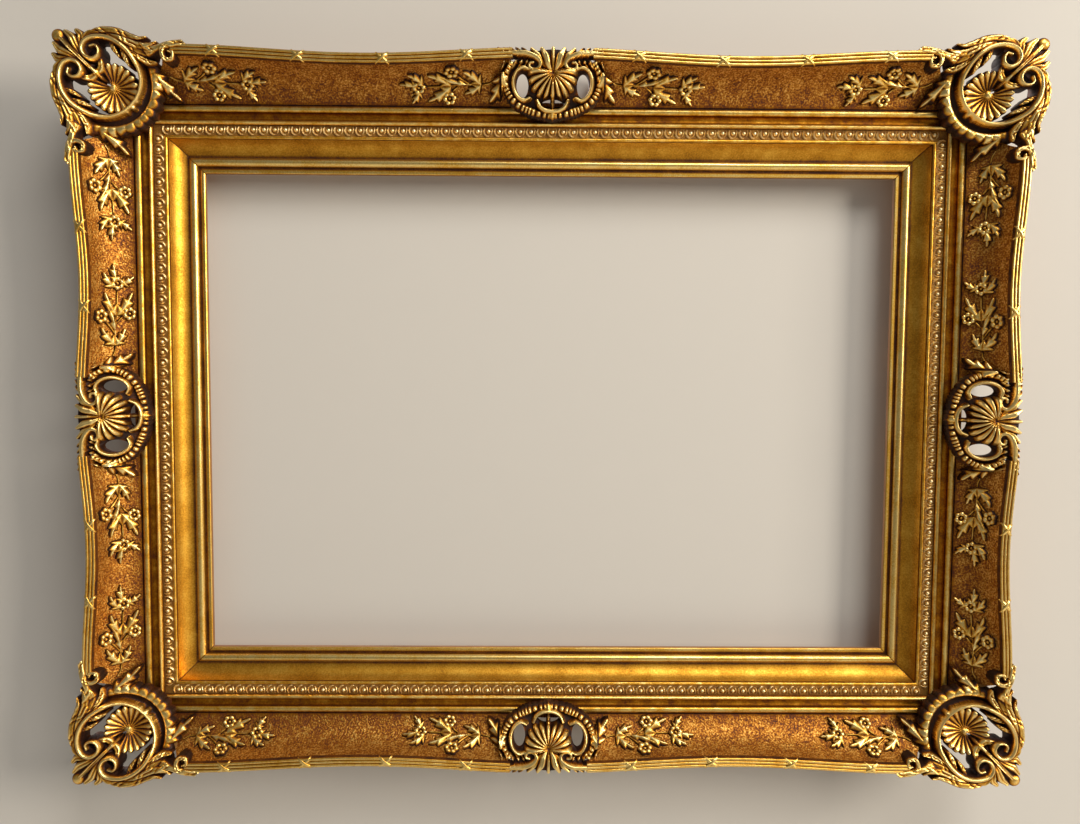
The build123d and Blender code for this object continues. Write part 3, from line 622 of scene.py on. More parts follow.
# Burnished gilding: smooth, bright along the backs of the reeds with painted highlight, brown between them
# with painted shade
REED_GOLD = [(0.05, "#381604"), (0.3, "#844C12"), (0.5, "#C48626"), (0.72, "#E8B44A"), (0.95, "#FFE08E")]
reed_gold = gilding("reed_gilding", REED_GOLD, rough=0.3, patch=12.0, grain=0.9, depth=0.0002)
under = [(-u, -v, w) for u, v, w in RIBBON_HALF[:0:-1]] + RIBBON_HALF
over = [(u, -v, w + (RIBBON_THICK if u == 0.0 else 0.0)) for u, v, w in under]
bands = [[(*spot, RIBBON_WIDTH, RIBBON_THICK) for spot in ribbon] for ribbon in (under, over)]
points, faces, values = joined(*[swept(band, RIBBON_SECTION, 0.65, True) for band in bands])
ribbon = piece("reed_ribbon", points, faces, [], relief=values)
spots, values = reed_section()
section = wire("reed_section", spots, True, relief=values)
for long_side, (first, last, count) in RIBBONS.items():
    half = half_length(long_side)
    run = np.linspace(REED_START, half + REED_OVERRUN, 90)
    middle = edge_at(run, half) - REED_WIDTH / 2
    path = wire("reed_path", [(s, o, EDGE_HEIGHT) for s, o in zip(run, middle)], False)
    shape = grown(
        path, reed_tree, Section=section, Ribbon=ribbon, First=first - REED_START, Last=last - REED_START,
        Ribbons=count, Gilding=reed_gold,
    )
    for side, part in RAIL_HALVES[long_side]:
        place = side + "_" + part
        made = onto_rail(shape, "reeds_" + place, side, part in MIRRORED_PARTS, reed_gold)
        settle(made, "gilded_composition", "reed_edge_" + place)
for scratch in (section, ribbon):
    bpy.data.objects.remove(scratch)

# The flower sprigs: sixteen thin composition casts glued on the sanded cove, one growing from each end
# of every rail half. A stem carries three small flowers and eight pointed leaves, rubbed bright and painted
# with highlight on top.
SPRIG_LINE = 0.42
SPRIG_FROM_CENTRE = 50.0
SPRIG_FROM_CORNER = 10.0
SPRIG_BACK = -0.4
STEM_PROFILE = ([1.4, 2.0, 1.6], [1.4, 2.0, 1.6])
LEAF_RISE = 3.4
FLOWER_RISE = 2.8
SPRIG_STEMS = [
    [(-6, 3.4), (-1, 0.8), (6, 0.5), (20, 1.0), (32, -0.4), (50, -1.0)],
    [(13, 0.9), (19, 5.4), (25, 11.8)],
    [(19, 0.8), (25, -3.6), (28, -9.0)],
]
# The middle and the radius of each flower
SPRIG_FLOWERS = [((26.0, 12.8), 6.2), ((28.6, -9.8), 5.7), ((51.6, -1.0), 5.6)]
# The root, the tip, the width and the bend of each leaf
SPRIG_LEAVES = [
    ((4, 0.5), (17.5, 12.4), 12.0, 0.9),
    ((4, 0.5), (17.5, -6.8), 11.2, -0.9),
    ((16, 1.0), (36.5, 9.6), 7.6, -1.4),
    ((27, 0.2), (44.5, 9.4), 12.8, 1.2),
    ((27, -0.4), (45.5, -12.2), 12.8, -1.2),
    ((48, 1.8), (59.5, 10.4), 11.0, 0.9),
    ((52, 0.0), (66.5, 1.8), 11.0, 0.5),
    ((51, -3.4), (57.5, -13.8), 10.0, -0.6),
]
CAST_CREASE = 80.0
NOWHERE = -1000.0


def smooth(points, steps=10):
    """A smooth line through the given points."""
    p = np.asarray(points, float)
    p = np.vstack([2 * p[0] - p[1], p, 2 * p[-1] - p[-2]])
    line = []
    for a, b, c, d in zip(p[:-3], p[1:-2], p[2:-1], p[3:]):
        for t in np.arange(steps) / steps:
            square, cube = 2 * a - 5 * b + 4 * c - d, 3 * b - a - 3 * c + d
            line.append(0.5 * (2 * b + (c - a) * t + square * t ** 2 + cube * t ** 3))
    return np.array([*line, p[-2]])


class Cast:
    """A cast ornament on a grid: the height of its face, and how far inside its outline each cell lies."""

    def __init__(self, u0, u1, v0, v1, cell):
        self.cell = cell
        self.u, self.v = np.meshgrid(np.arange(u0, u1 + cell / 2, cell), np.arange(v0, v1 + cell / 2, cell))
        self.face = np.full(self.u.shape, NOWHERE)
        self.inside = np.full(self.u.shape, NOWHERE)
        # Extra tone for painted light, where a form is painted lighter than its relief gives
        self.painted_lift = np.zeros(self.u.shape)

    def lay(self, height, inside):
        """Lays a form on the cast: it stands wherever it is higher than what is there."""
        near = inside > -1.3 * self.cell
        self.face = np.where(near, np.maximum(self.face, height), self.face)
        self.inside = np.maximum(self.inside, inside)

    def pierce(self, inside):
        """Cuts a hole through the cast."""
        self.inside = np.minimum(self.inside, -inside)

    def mirror(self):
        """Repeats the right half of the cast on the left."""
        self.face = np.maximum(self.face, self.face[:, ::-1])
        self.inside = np.maximum(self.inside, self.inside[:, ::-1])

    def about(self, centre):
        """For every cell, its distance from a centre, and its angle from straight inwards."""
        du, dv = self.u - centre[0], self.v - centre[1]
        return np.hypot(du, dv), np.arctan2(du, -dv)

    def follow(self, path):
        """For every cell, how far along a path it lies, from 0 to 1, and how far aside of the path."""
        lengths = np.hypot(*np.diff(path, axis=0).T)
        start = np.concatenate([[0.0], np.cumsum(lengths)])
        best = np.full(self.u.shape, np.inf)
        along = np.zeros(self.u.shape)
        aside = np.zeros(self.u.shape)
        for (x0, y0), (x1, y1), length, before in zip(path[:-1], path[1:], lengths, start):
            dx, dy = (x1 - x0) / length, (y1 - y0) / length
            t = np.clip((self.u - x0) * dx + (self.v - y0) * dy, 0, length)
            ex, ey = self.u - x0 - t * dx, self.v - y0 - t * dy
            far = ex * ex + ey * ey
            near = far < best
            best = np.where(near, far, best)
            along = np.where(near, before + t, along)
            aside = np.where(near, dx * ey - dy * ex, aside)
        return along / start[-1], np.copysign(np.sqrt(best), aside)

    def band(self, rows, base, groove=0.0, cuts=0, cut_depth=0.0, slant=0.5, profile=None):
        """A rounded band through rows of (u, v, width, rise), which may be grooved along and cut across."""
        rows = np.asarray(rows, float)
        widths, rises = profile or rows[:, 2:].T
        along, aside = self.follow(smooth(rows[:, :2]))
        places = np.linspace(0, 1, len(widths))
        half = np.interp(along, places, widths) / 2
        rise = np.interp(along, places, rises)
        across = np.clip(aside / half, -1, 1)
        height = rise * np.sqrt(1 - across ** 2 * 0.98)
        if groove:
            height = height - groove * rise * np.exp(-(across / 0.28) ** 2)
        if cuts:
            wave = np.abs(np.cos(pi * (cuts * along + slant * across + 0.3 * np.sin(19.0 * along))))
            height = height - cut_depth * (1 - wave ** 0.7) * np.clip(1.2 - np.abs(across), 0, 1)
            half = half * (0.76 + 0.24 * wave ** 0.6)
        self.lay(base + height, half - np.abs(aside))

    def leaf(self, root, tip, width, rise, base, bend=0.0, lobes=2):
        """A pointed leaf with fingers swept forwards on both edges, and a ridge along it and each finger."""
        root, tip = np.asarray(root, float), np.asarray(tip, float)
        run = tip - root
        length = np.hypot(*run)
        normal = np.array([-run[1], run[0]]) / length
        along, aside = self.follow(smooth([root, (root + tip) / 2 + normal * bend, tip]))
        swept_back = along - 0.75 * np.abs(aside) / length
        tooth = np.clip(swept_back * (lobes + 0.6) + 0.35, 0, lobes + 0.999) % 1.0
        finger = np.where(tooth < 0.72, tooth / 0.72, (1 - tooth) / 0.28)
        swell = np.sin(pi * np.clip(along, 0, 1) ** 0.7) ** 0.75
        half = np.maximum(width / 2 * swell * (0.52 + 0.48 * finger), 0.3)
        across = np.clip(aside / half, -1, 1)
        body = np.sqrt(1 - across ** 2 * 0.98)
        crest = 1 - 0.45 * np.abs(across) + 0.28 * finger * np.abs(across)
        arch = 0.7 + 0.3 * np.sin(pi * along ** 0.8)
        self.lay(base + rise * arch * body * crest, half - np.abs(aside))

    def flower(self, centre, radius, rise, base, petals=6):
        """A ring of petals about a pearl."""
        du, dv = self.u - centre[0], self.v - centre[1]
        r, angle = np.hypot(du, dv), np.arctan2(dv, du)
        lobe = np.abs(np.cos(petals * angle / 2 + 0.4))
        edge = radius * (0.84 + 0.16 * lobe)
        middle = 0.62 * radius
        ring = np.clip((r - middle) / (edge - middle), -1.3, 1)
        ring = np.where(r < middle, (middle - r) / (0.34 * radius), ring)
        petal = rise * (0.72 + 0.28 * lobe) * np.sqrt(np.clip(1 - ring ** 2, 0, 1)) + 0.25 * rise
        pearl = rise * 0.95 * np.sqrt(np.clip(1 - (r / (0.3 * radius)) ** 2, 0, 1))
        self.lay(base + np.maximum(petal, pearl), edge - r)

    def shell(self, hinge, spread, ribs, edge, rise, base, scallop, dish):
        """A scallop shell: ribs fan out from the hinge to a lobed edge, over a dished or arched back."""
        r, angle = self.about(hinge)
        lobe = np.abs(np.cos(pi * ribs * (angle / spread) / 2))
        limit = np.interp(np.abs(angle), *edge) * (1 - scallop + scallop * lobe ** 0.6)
        out = np.clip(r / limit, 0, 1)
        flute = (0.15 + 0.85 * np.clip(out * 1.6, 0, 1)) * (lobe ** 0.7 - 0.5)
        rim = np.sqrt(np.clip(1 - np.clip((out - 0.8) / 0.2, 0, 1) ** 2, 0, 1))
        height = (dish(out) + rise * 0.5 * flute) * (0.45 + 0.55 * rim)
        within = np.minimum(limit - r, (spread - np.abs(angle)) * np.maximum(r, 0.5))
        self.lay(base + height, within)

    def softened(self, values, spread):
        """Values averaged over the neighbourhood of each cell of the cast."""
        reach = min(int(3 * spread / self.cell), (min(values.shape) - 1) // 2)
        x = np.arange(-reach, reach + 1) * self.cell
        weight = np.exp(-(x / spread) ** 2 / 2)
        mask = (self.inside > 0).astype(float)
        total, share = np.where(mask > 0, values, 0.0), mask
        for axis in (0, 1):
            total = np.apply_along_axis(np.convolve, axis, total, weight, "same")
            share = np.apply_along_axis(np.convolve, axis, share, weight, "same")
        return total / np.maximum(share, 1e-6)

    def shape(self, back):
        """Points (u, v, height), faces and relief values, closed by walls and a back at the given height."""
        cell = self.cell
        stands = self.inside > 0
        cells = stands[:-1, :-1] | stands[1:, :-1] | stands[:-1, 1:] | stands[1:, 1:]
        used = np.zeros(self.u.shape, bool)
        for row in (0, 1):
            for column in (0, 1):
                used[row:row + cells.shape[0], column:column + cells.shape[1]] |= cells

        # The points just outside slide onto the outline, so that the edge runs smoothly across the cells
        level = np.maximum(self.inside, -3 * cell)
        gv, gu = np.gradient(level, cell)
        slip = np.where(stands, 0.0, -level / np.maximum(gu ** 2 + gv ** 2, 0.15))
        u = self.u + np.clip(gu * slip, -cell, cell) * 0.98
        v = self.v + np.clip(gv * slip, -cell, cell) * 0.98

        # What stands above its neighbourhood is rubbed bright and painted with highlight, and what lies below
        # it stays dark with old dirt and painted shade
        face = np.where(self.face < NOWHERE / 2, back, self.face)
        face = np.maximum(face, back + 0.3)
        close = (face - self.softened(face, 1.5)) * 0.55
        wide = np.clip(face - self.softened(face, 4.5), -1.8, 4.0) * 0.12
        tone = np.clip(close + wide + self.painted_lift + 0.53, 0.02, 1.0)[used]

        count = used.sum()
        index = np.full(self.u.shape, -1)
        index[used] = np.arange(count)
        i, j = np.nonzero(cells)
        front = np.stack([index[i, j], index[i, j + 1], index[i + 1, j + 1], index[i + 1, j]], axis=1)
        rim = {}
        for quad in front:
            for a, b in zip(quad, np.roll(quad, -1)):
                if (b, a) in rim:
                    del rim[(b, a)]
                else:
                    rim[(a, b)] = True
        walls = [(a, a + count, b + count, b) for a, b in rim]
        faces = np.concatenate([front, front[:, ::-1] + count, np.array(walls)])
        spots = np.stack([u[used], v[used], face[used]], axis=1)
        under = spots.copy()
        under[:, 2] = np.broadcast_to(back, self.u.shape)[used]
        return np.concatenate([spots, under]), faces, np.concatenate([tone, np.full(count, 0.12)])


def on_cove(side, along, climb, lift):
    """Places so far up the surface of a rail's cove from the line of the stems, and lifted square from it."""
    edge = edge_at(along, half_length(side))
    t = np.linspace(-0.1, 1.06, 80)
    limits = (MEAN_EDGE - EDGE_SWELL, MEAN_EDGE + EDGE_SWELL)
    shares = []
    for limit in limits:
        run = np.hypot(*np.diff(cove_places(t, limit), axis=1))
        way = np.concatenate([[0.0], np.cumsum(run)])
        shares.append(np.interp(climb, way - np.interp(SPRIG_LINE, t, way), t))
    mix = (edge - limits[0]) / (limits[1] - limits[0])
    share = (1 - mix) * shares[0] + mix * shares[1]
    o0, h0 = cove_places(share, edge)
    o1, h1 = cove_places(share + 0.01, edge)
    run = np.hypot(o1 - o0, h1 - h0)
    return placed(side, along, o0 - lift * (h1 - h0) / run, h0 + lift * (o1 - o0) / run)


sprig = Cast(-7, 68, -16, 19, cell=0.4)
for stem in SPRIG_STEMS:
    sprig.band(stem, 0.0, profile=STEM_PROFILE)
for root, tip, width, bend in SPRIG_LEAVES:
    sprig.leaf(root, tip, width, LEAF_RISE, 0.0, bend)
for place, radius in SPRIG_FLOWERS:
    sprig.flower(place, radius, FLOWER_RISE, 0.0)
points, faces, values = sprig.shape(SPRIG_BACK)

# Gilded composition rubbed by dusting: pale gold on the petals and ribs, brown at the edges, each partly wear
# and partly painted highlight and painted shade
SPRIG_GOLD = [(0.05, "#2A1003"), (0.25, "#70400E"), (0.45, "#BE8428"), (0.66, "#EBBC58"), (0.9, "#FFE8A0")]
sprig_gold = gilding("sprig_gilding", SPRIG_GOLD, rough=0.32, patch=8.0, grain=0.8, depth=0.0002)
for side, part in RAIL_HALVES["top"] + RAIL_HALVES["right"]:
    sign = -1.0 if part in MIRRORED_PARTS else 1.0
    corner_start = half_length(side) + SPRIG_FROM_CORNER
    for end, start, grow in (("centre", SPRIG_FROM_CENTRE, 1.0), ("corner", corner_start, -1.0)):
        place = side + "_" + part
        spots = on_cove(side, sign * (start + grow * points[:, 0]), points[:, 1], points[:, 2])
        flip = turned(side, sign * grow < 0)
        name = "sprig_" + end + "_leaves_" + place
        made = piece(name, spots, faces, [sprig_gold], flip, CAST_CREASE, relief=values)
        settle(made, "gilded_composition", "sprig_" + end + "_" + place)

# The corner cartouches: pierced composition casts over the mitres. A dished shell sits in an oval opening,
# inside a smooth rim and a frilled collar; two leafy C-scrolls curl in above it and a leaf points outwards.
CORNER_MIDDLE = (0.0, 85.5)
CORNER_TILT = 0.2493
SHELL_EDGE = ([0.0, 0.6, 1.2, 1.8, 2.4, 2.9], [21.6, 20.4, 18.8, 17.8, 16.2, 14.4])
# Rows of bands: the place across and outwards along the diagonal, the width and the rise there
CORNER_RIM = [
    (0, 61.2, 3.0, 4.4), (8, 62.2, 3.2, 4.4), (15.8, 65.4, 3.2, 4.6), (22.2, 70.6, 3.4, 5.0),
    (26.2, 77, 4.0, 6.0), (28.2, 84.5, 4.6, 6.8), (27.8, 92, 5.0, 7.4), (25.4, 99, 5.4, 8.0),
    (21, 105, 5.6, 8.4), (15.6, 109, 5.6, 8.8), (10.4, 110.2, 5.4, 9.0), (5.6, 108, 5.2, 9.0),
    (3.8, 103.2, 5.0, 8.8), (5.6, 98.4, 4.8, 8.6), (10.2, 96.8, 4.4, 8.4), (14, 99.2, 4.0, 8.2),
    (14.4, 103, 3.4, 8.0), (11.4, 105, 2.8, 7.8),
]
CORNER_SCROLLS = [
    [(9, 111, 2.0, 7.0), (17.5, 111.4, 5.6, 7.8), (25.5, 107.4, 7.4, 8.0), (32.2, 99.8, 7.6, 7.8),
     (36.6, 91, 6.6, 7.4), (40, 85.4, 5.6, 7.2), (44.6, 82.4, 2.0, 5.6)],
    [(26.4, 102, 2.0, 7.8), (30.4, 95, 4.6, 8.6), (33.2, 88, 6.4, 8.6), (37, 80.6, 7.0, 8.4),
     (42.0, 76.2, 5.8, 7.8), (47.6, 74.4, 1.8, 6.0)],
    [(29.2, 93, 1.6, 6.6), (31.4, 85.5, 4.6, 7.2), (34, 78.4, 6.2, 7.4), (38.4, 72.4, 5.6, 7.2),
     (44.0, 69.0, 1.8, 5.6)],
    [(29.4, 84, 1.4, 6.4), (30.6, 77, 4.4, 7.2), (32.8, 71.4, 5.4, 7.2), (36.6, 66.4, 1.8, 5.4)],
    [(25.8, 99.5, 3.4, 6.6), (22.6, 93.5, 5.4, 6.2), (20.6, 87, 1.8, 5.0)],
    [(28.0, 91, 3.0, 6.0), (24.0, 85, 5.4, 5.6), (20.8, 79, 1.8, 4.6)],
    [(33.0, 82, 2.0, 6.0), (38.5, 75.0, 5.6, 7.4), (45, 70.2, 7.4, 8.2), (52.4, 66.2, 7.4, 8.2),
     (62, 59.4, 6.4, 7.4)],
    [(58, 63.6, 3.4, 7.6), (51, 67.2, 5.2, 8.8), (45.4, 65.6, 5.4, 9.0), (43.6, 60.8, 5.2, 8.8),
     (47.2, 57.6, 4.6, 8.4), (51.0, 60.2, 3.6, 8.0), (49.2, 63.0, 2.6, 7.8)],
]
CORNER_TIP = [
    [(0, 92, 2.8, 6.0), (0, 104, 3.8, 8.2), (0, 118, 4.6, 8.6), (0, 129, 3.4, 7.0)],
    [(1.8, 104, 2.2, 6.6), (4.0, 112, 6.0, 8.0), (6.4, 119, 7.8, 8.6), (6.0, 125.4, 4.2, 7.2)],
    [(2.4, 104, 2.0, 6.0), (7.4, 110.4, 5.4, 7.4), (12.0, 115.4, 7.4, 8.2), (12.2, 120.4, 4.4, 6.8)],
    [(3.8, 106, 1.6, 6.0), (10.4, 110.8, 4.6, 7.0), (16.4, 112.6, 6.6, 8.0), (20.0, 110.4, 5.6, 7.8),
     (18.4, 107.6, 2.6, 6.8)],
]
CORNER_ROOT = [(0, 91.4, 6.0, 5.0), (5, 92.0, 5.6, 5.6), (10.4, 95.6, 3.4, 6.0)]


def cove_level(offset):
    """Height of the cove at an offset from the sight edge, where the outer edge runs at its mean."""
    spots = cove_places(np.linspace(-0.05, 1.0, 60), MEAN_EDGE)
    return np.interp(offset, *spots)


def ruffle(cast, centre, inner, outer, last, count, rise, base):
    """A crimped collar about a centre, in uneven lobes, up to a last angle on both sides of inwards."""
    r, angle = cast.about(centre)
    turn = count * (angle / last) / 2 + 0.16 * np.sin(7.0 * angle + 0.8)
    lobe = np.abs(np.cos(pi * turn))
    limit = outer + 0.9 * np.sin(4.3 * angle + 0.6) - (outer - inner) * 0.3 * (1 - lobe ** 0.6)
    out = np.clip((r - inner) / (limit - inner), 0, 1)
    swell = np.sqrt(np.clip(1 - ((out - 0.55) / 0.55) ** 2, 0.02, 1))
    height = rise * swell * (0.78 + 0.22 * lobe ** 0.7)
    within = np.minimum(np.minimum(limit - r, r - inner), (last - np.abs(angle)) * np.maximum(r, 1.0))
    cast.lay(base + height, within)


def shell_dish(out):
    """The back of the corner shell: a boss at the hinge and a rim that turns up."""
    return 3.0 * np.exp(-(out / 0.2) ** 2) + 7.4 * out ** 1.7


# The bed slopes with the cove, the shelf lies over the reeds, and the ground passes from bed to shelf
corner = Cast(-62.1, 62.1, 38.0, 138.0, cell=0.45)
aside = np.abs(corner.u)
corner_bed = 29.0 + corner.v * CORNER_TILT
rail_offset = (corner.v + aside) / sqrt(2)
over_reeds = np.interp(rail_offset, [62.0, 71.0, 82.0], [45.0, 53.0, 54.0])
corner_shelf = np.maximum(np.interp(corner.v, [40, 60, 80, 100], [42.0, 46.0, 50.0, 53.0]), over_reeds)
outward = np.clip(np.maximum((corner.v - 68.0) / 22.0, (aside - 33.0) / 6.0), 0, 1)
corner_ground = corner_bed + (corner_shelf - corner_bed) * outward
cove_ground = cove_level(rail_offset)

# The channel round the shell, the collar, the shell and its rim
r, angle = corner.about(CORNER_MIDDLE)
channel = np.minimum(np.minimum(r - 23.2, 35.0 - r), (1.5 - np.abs(angle)) * 25.0)
corner.lay(corner_bed - 2.8 + 2.0 * np.clip((r - 27.0) / 6.0, 0, 1) ** 2, channel)
ruffle(corner, CORNER_MIDDLE, inner=31.6, outer=39.2, last=1.16, count=13, rise=4.6, base=corner_bed - 1.8)
corner.shell(
    (0.0, 79.6), spread=2.82, ribs=19, edge=SHELL_EDGE, rise=5.4, base=corner_bed - 3.6, scallop=0.14,
    dish=shell_dish,
)
corner.band(CORNER_RIM, corner_ground)

# The leafy scrolls, and the outward leaf with its ground and its knob
for strand in CORNER_SCROLLS:
    corner.band(strand, corner_ground, groove=0.14, cuts=len(strand) - 1, cut_depth=1.3, slant=0.8)
tip_sides = np.minimum(corner.v - 103.0, 17.0 - aside)
corner.lay(corner_shelf + 4.2, np.minimum(129.0 - corner.v - aside, tip_sides))
for strand in CORNER_TIP:
    corner.band(strand, corner_shelf, groove=0.2)
knob = np.hypot(corner.u, corner.v - 127.6)
corner.lay(corner_shelf + 3.0 + 3.8 * np.sqrt(np.clip(1 - (knob / 5.0) ** 2, 0, 1)), 5.0 - knob)

# The leaf between the scrolls, and the two leaves that hang from the rim onto the coves
corner.band(CORNER_ROOT, corner_ground - 1.0, groove=0.2)
corner.leaf((0.0, 101.0), (0.0, 85.0), width=9.0, rise=7.2, base=corner_ground - 1.6)
leaf_ground = np.maximum(cove_ground, np.minimum(corner_bed - 2.0, cove_ground + 4.0))
corner.leaf((30.4, 68.0), (29.0, 41.0), width=11.5, rise=5.0, base=leaf_ground, bend=-1.6)
corner.mirror()
# Painted light: the two leaves that hang onto the coves are painted lighter, as if they caught the light
corner.painted_lift = 0.25 * np.clip((62.0 - corner.v) / 6.0, 0, 1) * np.clip((aside - 23.0) / 2.0, 0, 1)
corner_back = np.minimum(corner_bed - 5.6, np.interp(corner.v, [40, 60, 80, 100, 140], [31, 37, 42, 46, 47]))
beyond = np.clip((aside - 36.0) / 6.0, 0, 1)
wing_back = np.maximum(corner_back, np.minimum(cove_ground, 50.0))
points, faces, values = corner.shape(corner_back + (wing_back - corner_back) * beyond)

# Gilded composition: bright on the scrolls and ribs with painted highlight, brown in the folds with old size
# and painted shade
CAST_GOLD = [(0.05, "#2A1003"), (0.26, "#6E380C"), (0.48, "#B87A22"), (0.7, "#E6B04A"), (0.95, "#FFE092")]
corner_gold = gilding("corner_gilding", CAST_GOLD, rough=0.3, patch=11.0, grain=0.8, depth=0.0002)
for up, right in ((1.0, 1.0), (1.0, -1.0), (-1.0, 1.0), (-1.0, -1.0)):
    place = ("top" if up > 0 else "bottom") + ("_right" if right > 0 else "_left")
    p, q, height = points.T
    x = right * (HALF_WIDTH + (q + p) / sqrt(2))
    z = up * (HALF_HEIGHT + (q - p) / sqrt(2))
    spots = np.stack([x, -(WALL_GAP + height), z], axis=1) / 1000
    name = "cartouche_corner_" + place
    made = piece(name, spots, faces, [corner_gold], up * right < 0, CAST_CREASE, relief=values)
    settle(made, "gilded_composition", "corner_cartouche_" + place)

# The centre cartouches: smaller pierced casts over the notch in the middle of each rail. A ribbed shell
# hangs between two eyes above a crescent, edged by a knuckled frill and crowned by scrolls and tall leaves.
CENTRE_TILT = 0.4663
CENTRE_WING = 38.5
FAN_EDGE = ([0.0, 0.5, 1.0, 1.5, 1.8], [16.8, 17.4, 18.2, 18.6, 17.6])
# Rows of bands: the place along and outwards, the width and the rise there
CENTRE_FRILL = [
    (0, 39.8, 7.0, 5.2), (11, 41.4, 5.2, 4.4), (21, 44.6, 6.8, 5.2), (28.6, 49.0, 5.6, 4.6),
    (33.2, 54.8, 6.4, 5.0), (35.2, 61.6, 5.0, 4.4), (34.4, 68.4, 4.6, 4.2), (31.0, 74.2, 4.0, 3.8),
]
CENTRE_HOOPS = [
    [(17.6, 70.0, 2.2, 4.6), (22, 71.4, 3.0, 5.0), (26.6, 69.0, 3.2, 5.4), (29.4, 63.5, 3.2, 5.4),
     (29.0, 57.4, 3.2, 5.4), (26.2, 52.6, 3.2, 5.2), (21.8, 50.4, 3.0, 4.8), (17.2, 52.0, 2.0, 4.2)],
    [(0, 42.8, 4.2, 4.8), (5, 43.6, 4.0, 4.8), (9.4, 46.2, 3.6, 4.6), (11.6, 50.6, 2.4, 4.0)],
]
CENTRE_CROWN = [
    [(44, 79.4, 2.6, 5.6), (36, 80.4, 4.0, 6.6), (28, 81, 4.6, 7.2), (20, 80.6, 5.0, 7.6),
     (13.6, 78.4, 5.2, 8.0), (9.6, 74.8, 5.0, 8.2), (10.2, 71.2, 4.6, 8.0), (13.8, 69.6, 4.0, 7.6),
     (17.4, 71.2, 3.4, 7.2), (17.2, 74, 2.8, 6.8), (14.6, 74.6, 2.2, 6.4)],
    [(0, 68.4, 2.4, 6.4), (0, 75, 3.6, 7.2), (0, 84.6, 3.2, 7.0)],
    [(1.6, 68.4, 3.0, 7.0), (3.8, 73, 6.6, 8.8), (5.2, 78, 7.0, 8.8), (8.4, 84.0, 3.4, 7.4)],
    [(2.6, 69, 2.0, 6.0), (8.0, 74.2, 4.0, 7.2), (11.0, 79.4, 4.8, 7.6), (16.0, 84.0, 2.8, 6.8)],
]
# The small leaves in a comb along each scroll
COMB_COUNT = 5
COMB_STEP = 4.4
COMB_WIDTH = 4.0


def fan_arch(out):
    """The back of the centre shell: arched from the hinge to the edge."""
    return 4.4 + 2.2 * np.sin(pi * np.clip(out, 0, 1) ** 0.8) - 0.6 * out ** 3


# The slope leans with the cove and the crest lies over the reeds
centre = Cast(-53.1, 53.1, 33.0, 89.0, cell=0.45)
aside = np.abs(centre.u)
slope = 18.5 + centre.v * CENTRE_TILT
crest = np.interp(centre.v, [60, 70, 80, 89], [46.5, 50.5, 53.0, 53.0])
cove_under = cove_level(centre.v)
wing_ground = np.where(aside > CENTRE_WING, np.minimum(slope, cove_under + 2.2), slope)

# The plate, the frill round it, the hoops about the eyes, the shell and the leaves below and beside it
centre.lay(slope - 1.4, (1.0 - np.hypot(centre.u / 36.0, (centre.v - 62.5) / 21.5)) * 24.0)
centre.band(CENTRE_FRILL, slope - 0.8, cuts=17, cut_depth=3.2, slant=0.0)
for hoop in CENTRE_HOOPS:
    centre.band(hoop, slope)
centre.shell(
    (0.0, 67.4), spread=1.8, ribs=11, edge=FAN_EDGE, rise=8.4, base=slope + 0.4, scallop=0.2, dish=fan_arch,
)
centre.leaf((36.6, 68.5), (48.0, 51.0), width=14.5, rise=5.4, base=wing_ground, bend=-1.2)
centre.leaf((0.0, 53.6), (0.0, 44.4), width=5.4, rise=4.6, base=slope + 0.6, lobes=1)
centre.leaf((0.0, 43.4), (0.0, 36.6), width=9.0, rise=4.8, base=slope, lobes=1)

# The crown: scrolls and tall leaves on their ground, with a comb of small leaves on both sides of a scroll
for strand in CENTRE_CROWN:
    centre.band(strand, crest, groove=0.1)
centre.lay(crest + 3.4, np.minimum(np.minimum(82.6 - centre.v, centre.v - 68.0), 16.0 - aside))
for step in range(COMB_COUNT):
    run = COMB_STEP * step
    centre.leaf((17.0 + run, 78.4), (23.6 + run, 85.2), COMB_WIDTH, 7.4, crest, 0.8, lobes=1)
    low_tip = (22.6 + 4.0 * step, 71.6 - 0.3 * step)
    centre.leaf((18.6 + run, 77.6), low_tip, COMB_WIDTH, 6.0, crest - 1.5, -0.8, lobes=1)
centre.mirror()
# Painted light: the leaves beside the cartouche on the coves are painted lighter, as if they caught the light
centre.painted_lift = 0.3 * np.clip((aside - 37.5) / 2.0, 0, 1) * (centre.v < 72.0)

# The eyes beside the shell, and the two that the crescent leaves below it
for sign in (-1.0, 1.0):
    centre.pierce((1.0 - np.hypot((centre.u - sign * 22.8) / 4.5, (centre.v - 61.0) / 8.2)) * 6.0)
low_eye = (1.0 - np.hypot(centre.u / 8.8, (centre.v - 48.7) / 4.2)) * 5.0
centre.pierce(np.minimum(low_eye, aside - 1.7))
plate_back = slope - 5.0
centre_back = np.where(aside > CENTRE_WING, np.minimum(plate_back, cove_under), plate_back)
points, faces, values = centre.shape(centre_back)

# The same gilded composition as on the corners, from another mould
centre_gold = gilding("centre_gilding", CAST_GOLD, rough=0.3, patch=11.0, grain=0.8, depth=0.0002)
for side in SIDES:
    name = "cartouche_centre_" + side
    spots = placed(side, *points.T)
    made = piece(name, spots, faces, [centre_gold], turned(side), CAST_CREASE, relief=values)
    settle(made, "gilded_composition", "centre_cartouche_" + side)

# The slip: four narrow gilded mouldings mitred inside the rails, with a fillet at the sight edge, a round
# bead and a plain cove. It is smooth and cleaner than the rails, and its mitres show as fine dark lines.
BEAD_FOOT = 16.0
SLIP_SEAT = 12.5
SLIP_HEEL = 6.5
SLIP_OUTSIDE = 30.6
SLIP_GAP = 0.4
MITRE_GAP = 0.08


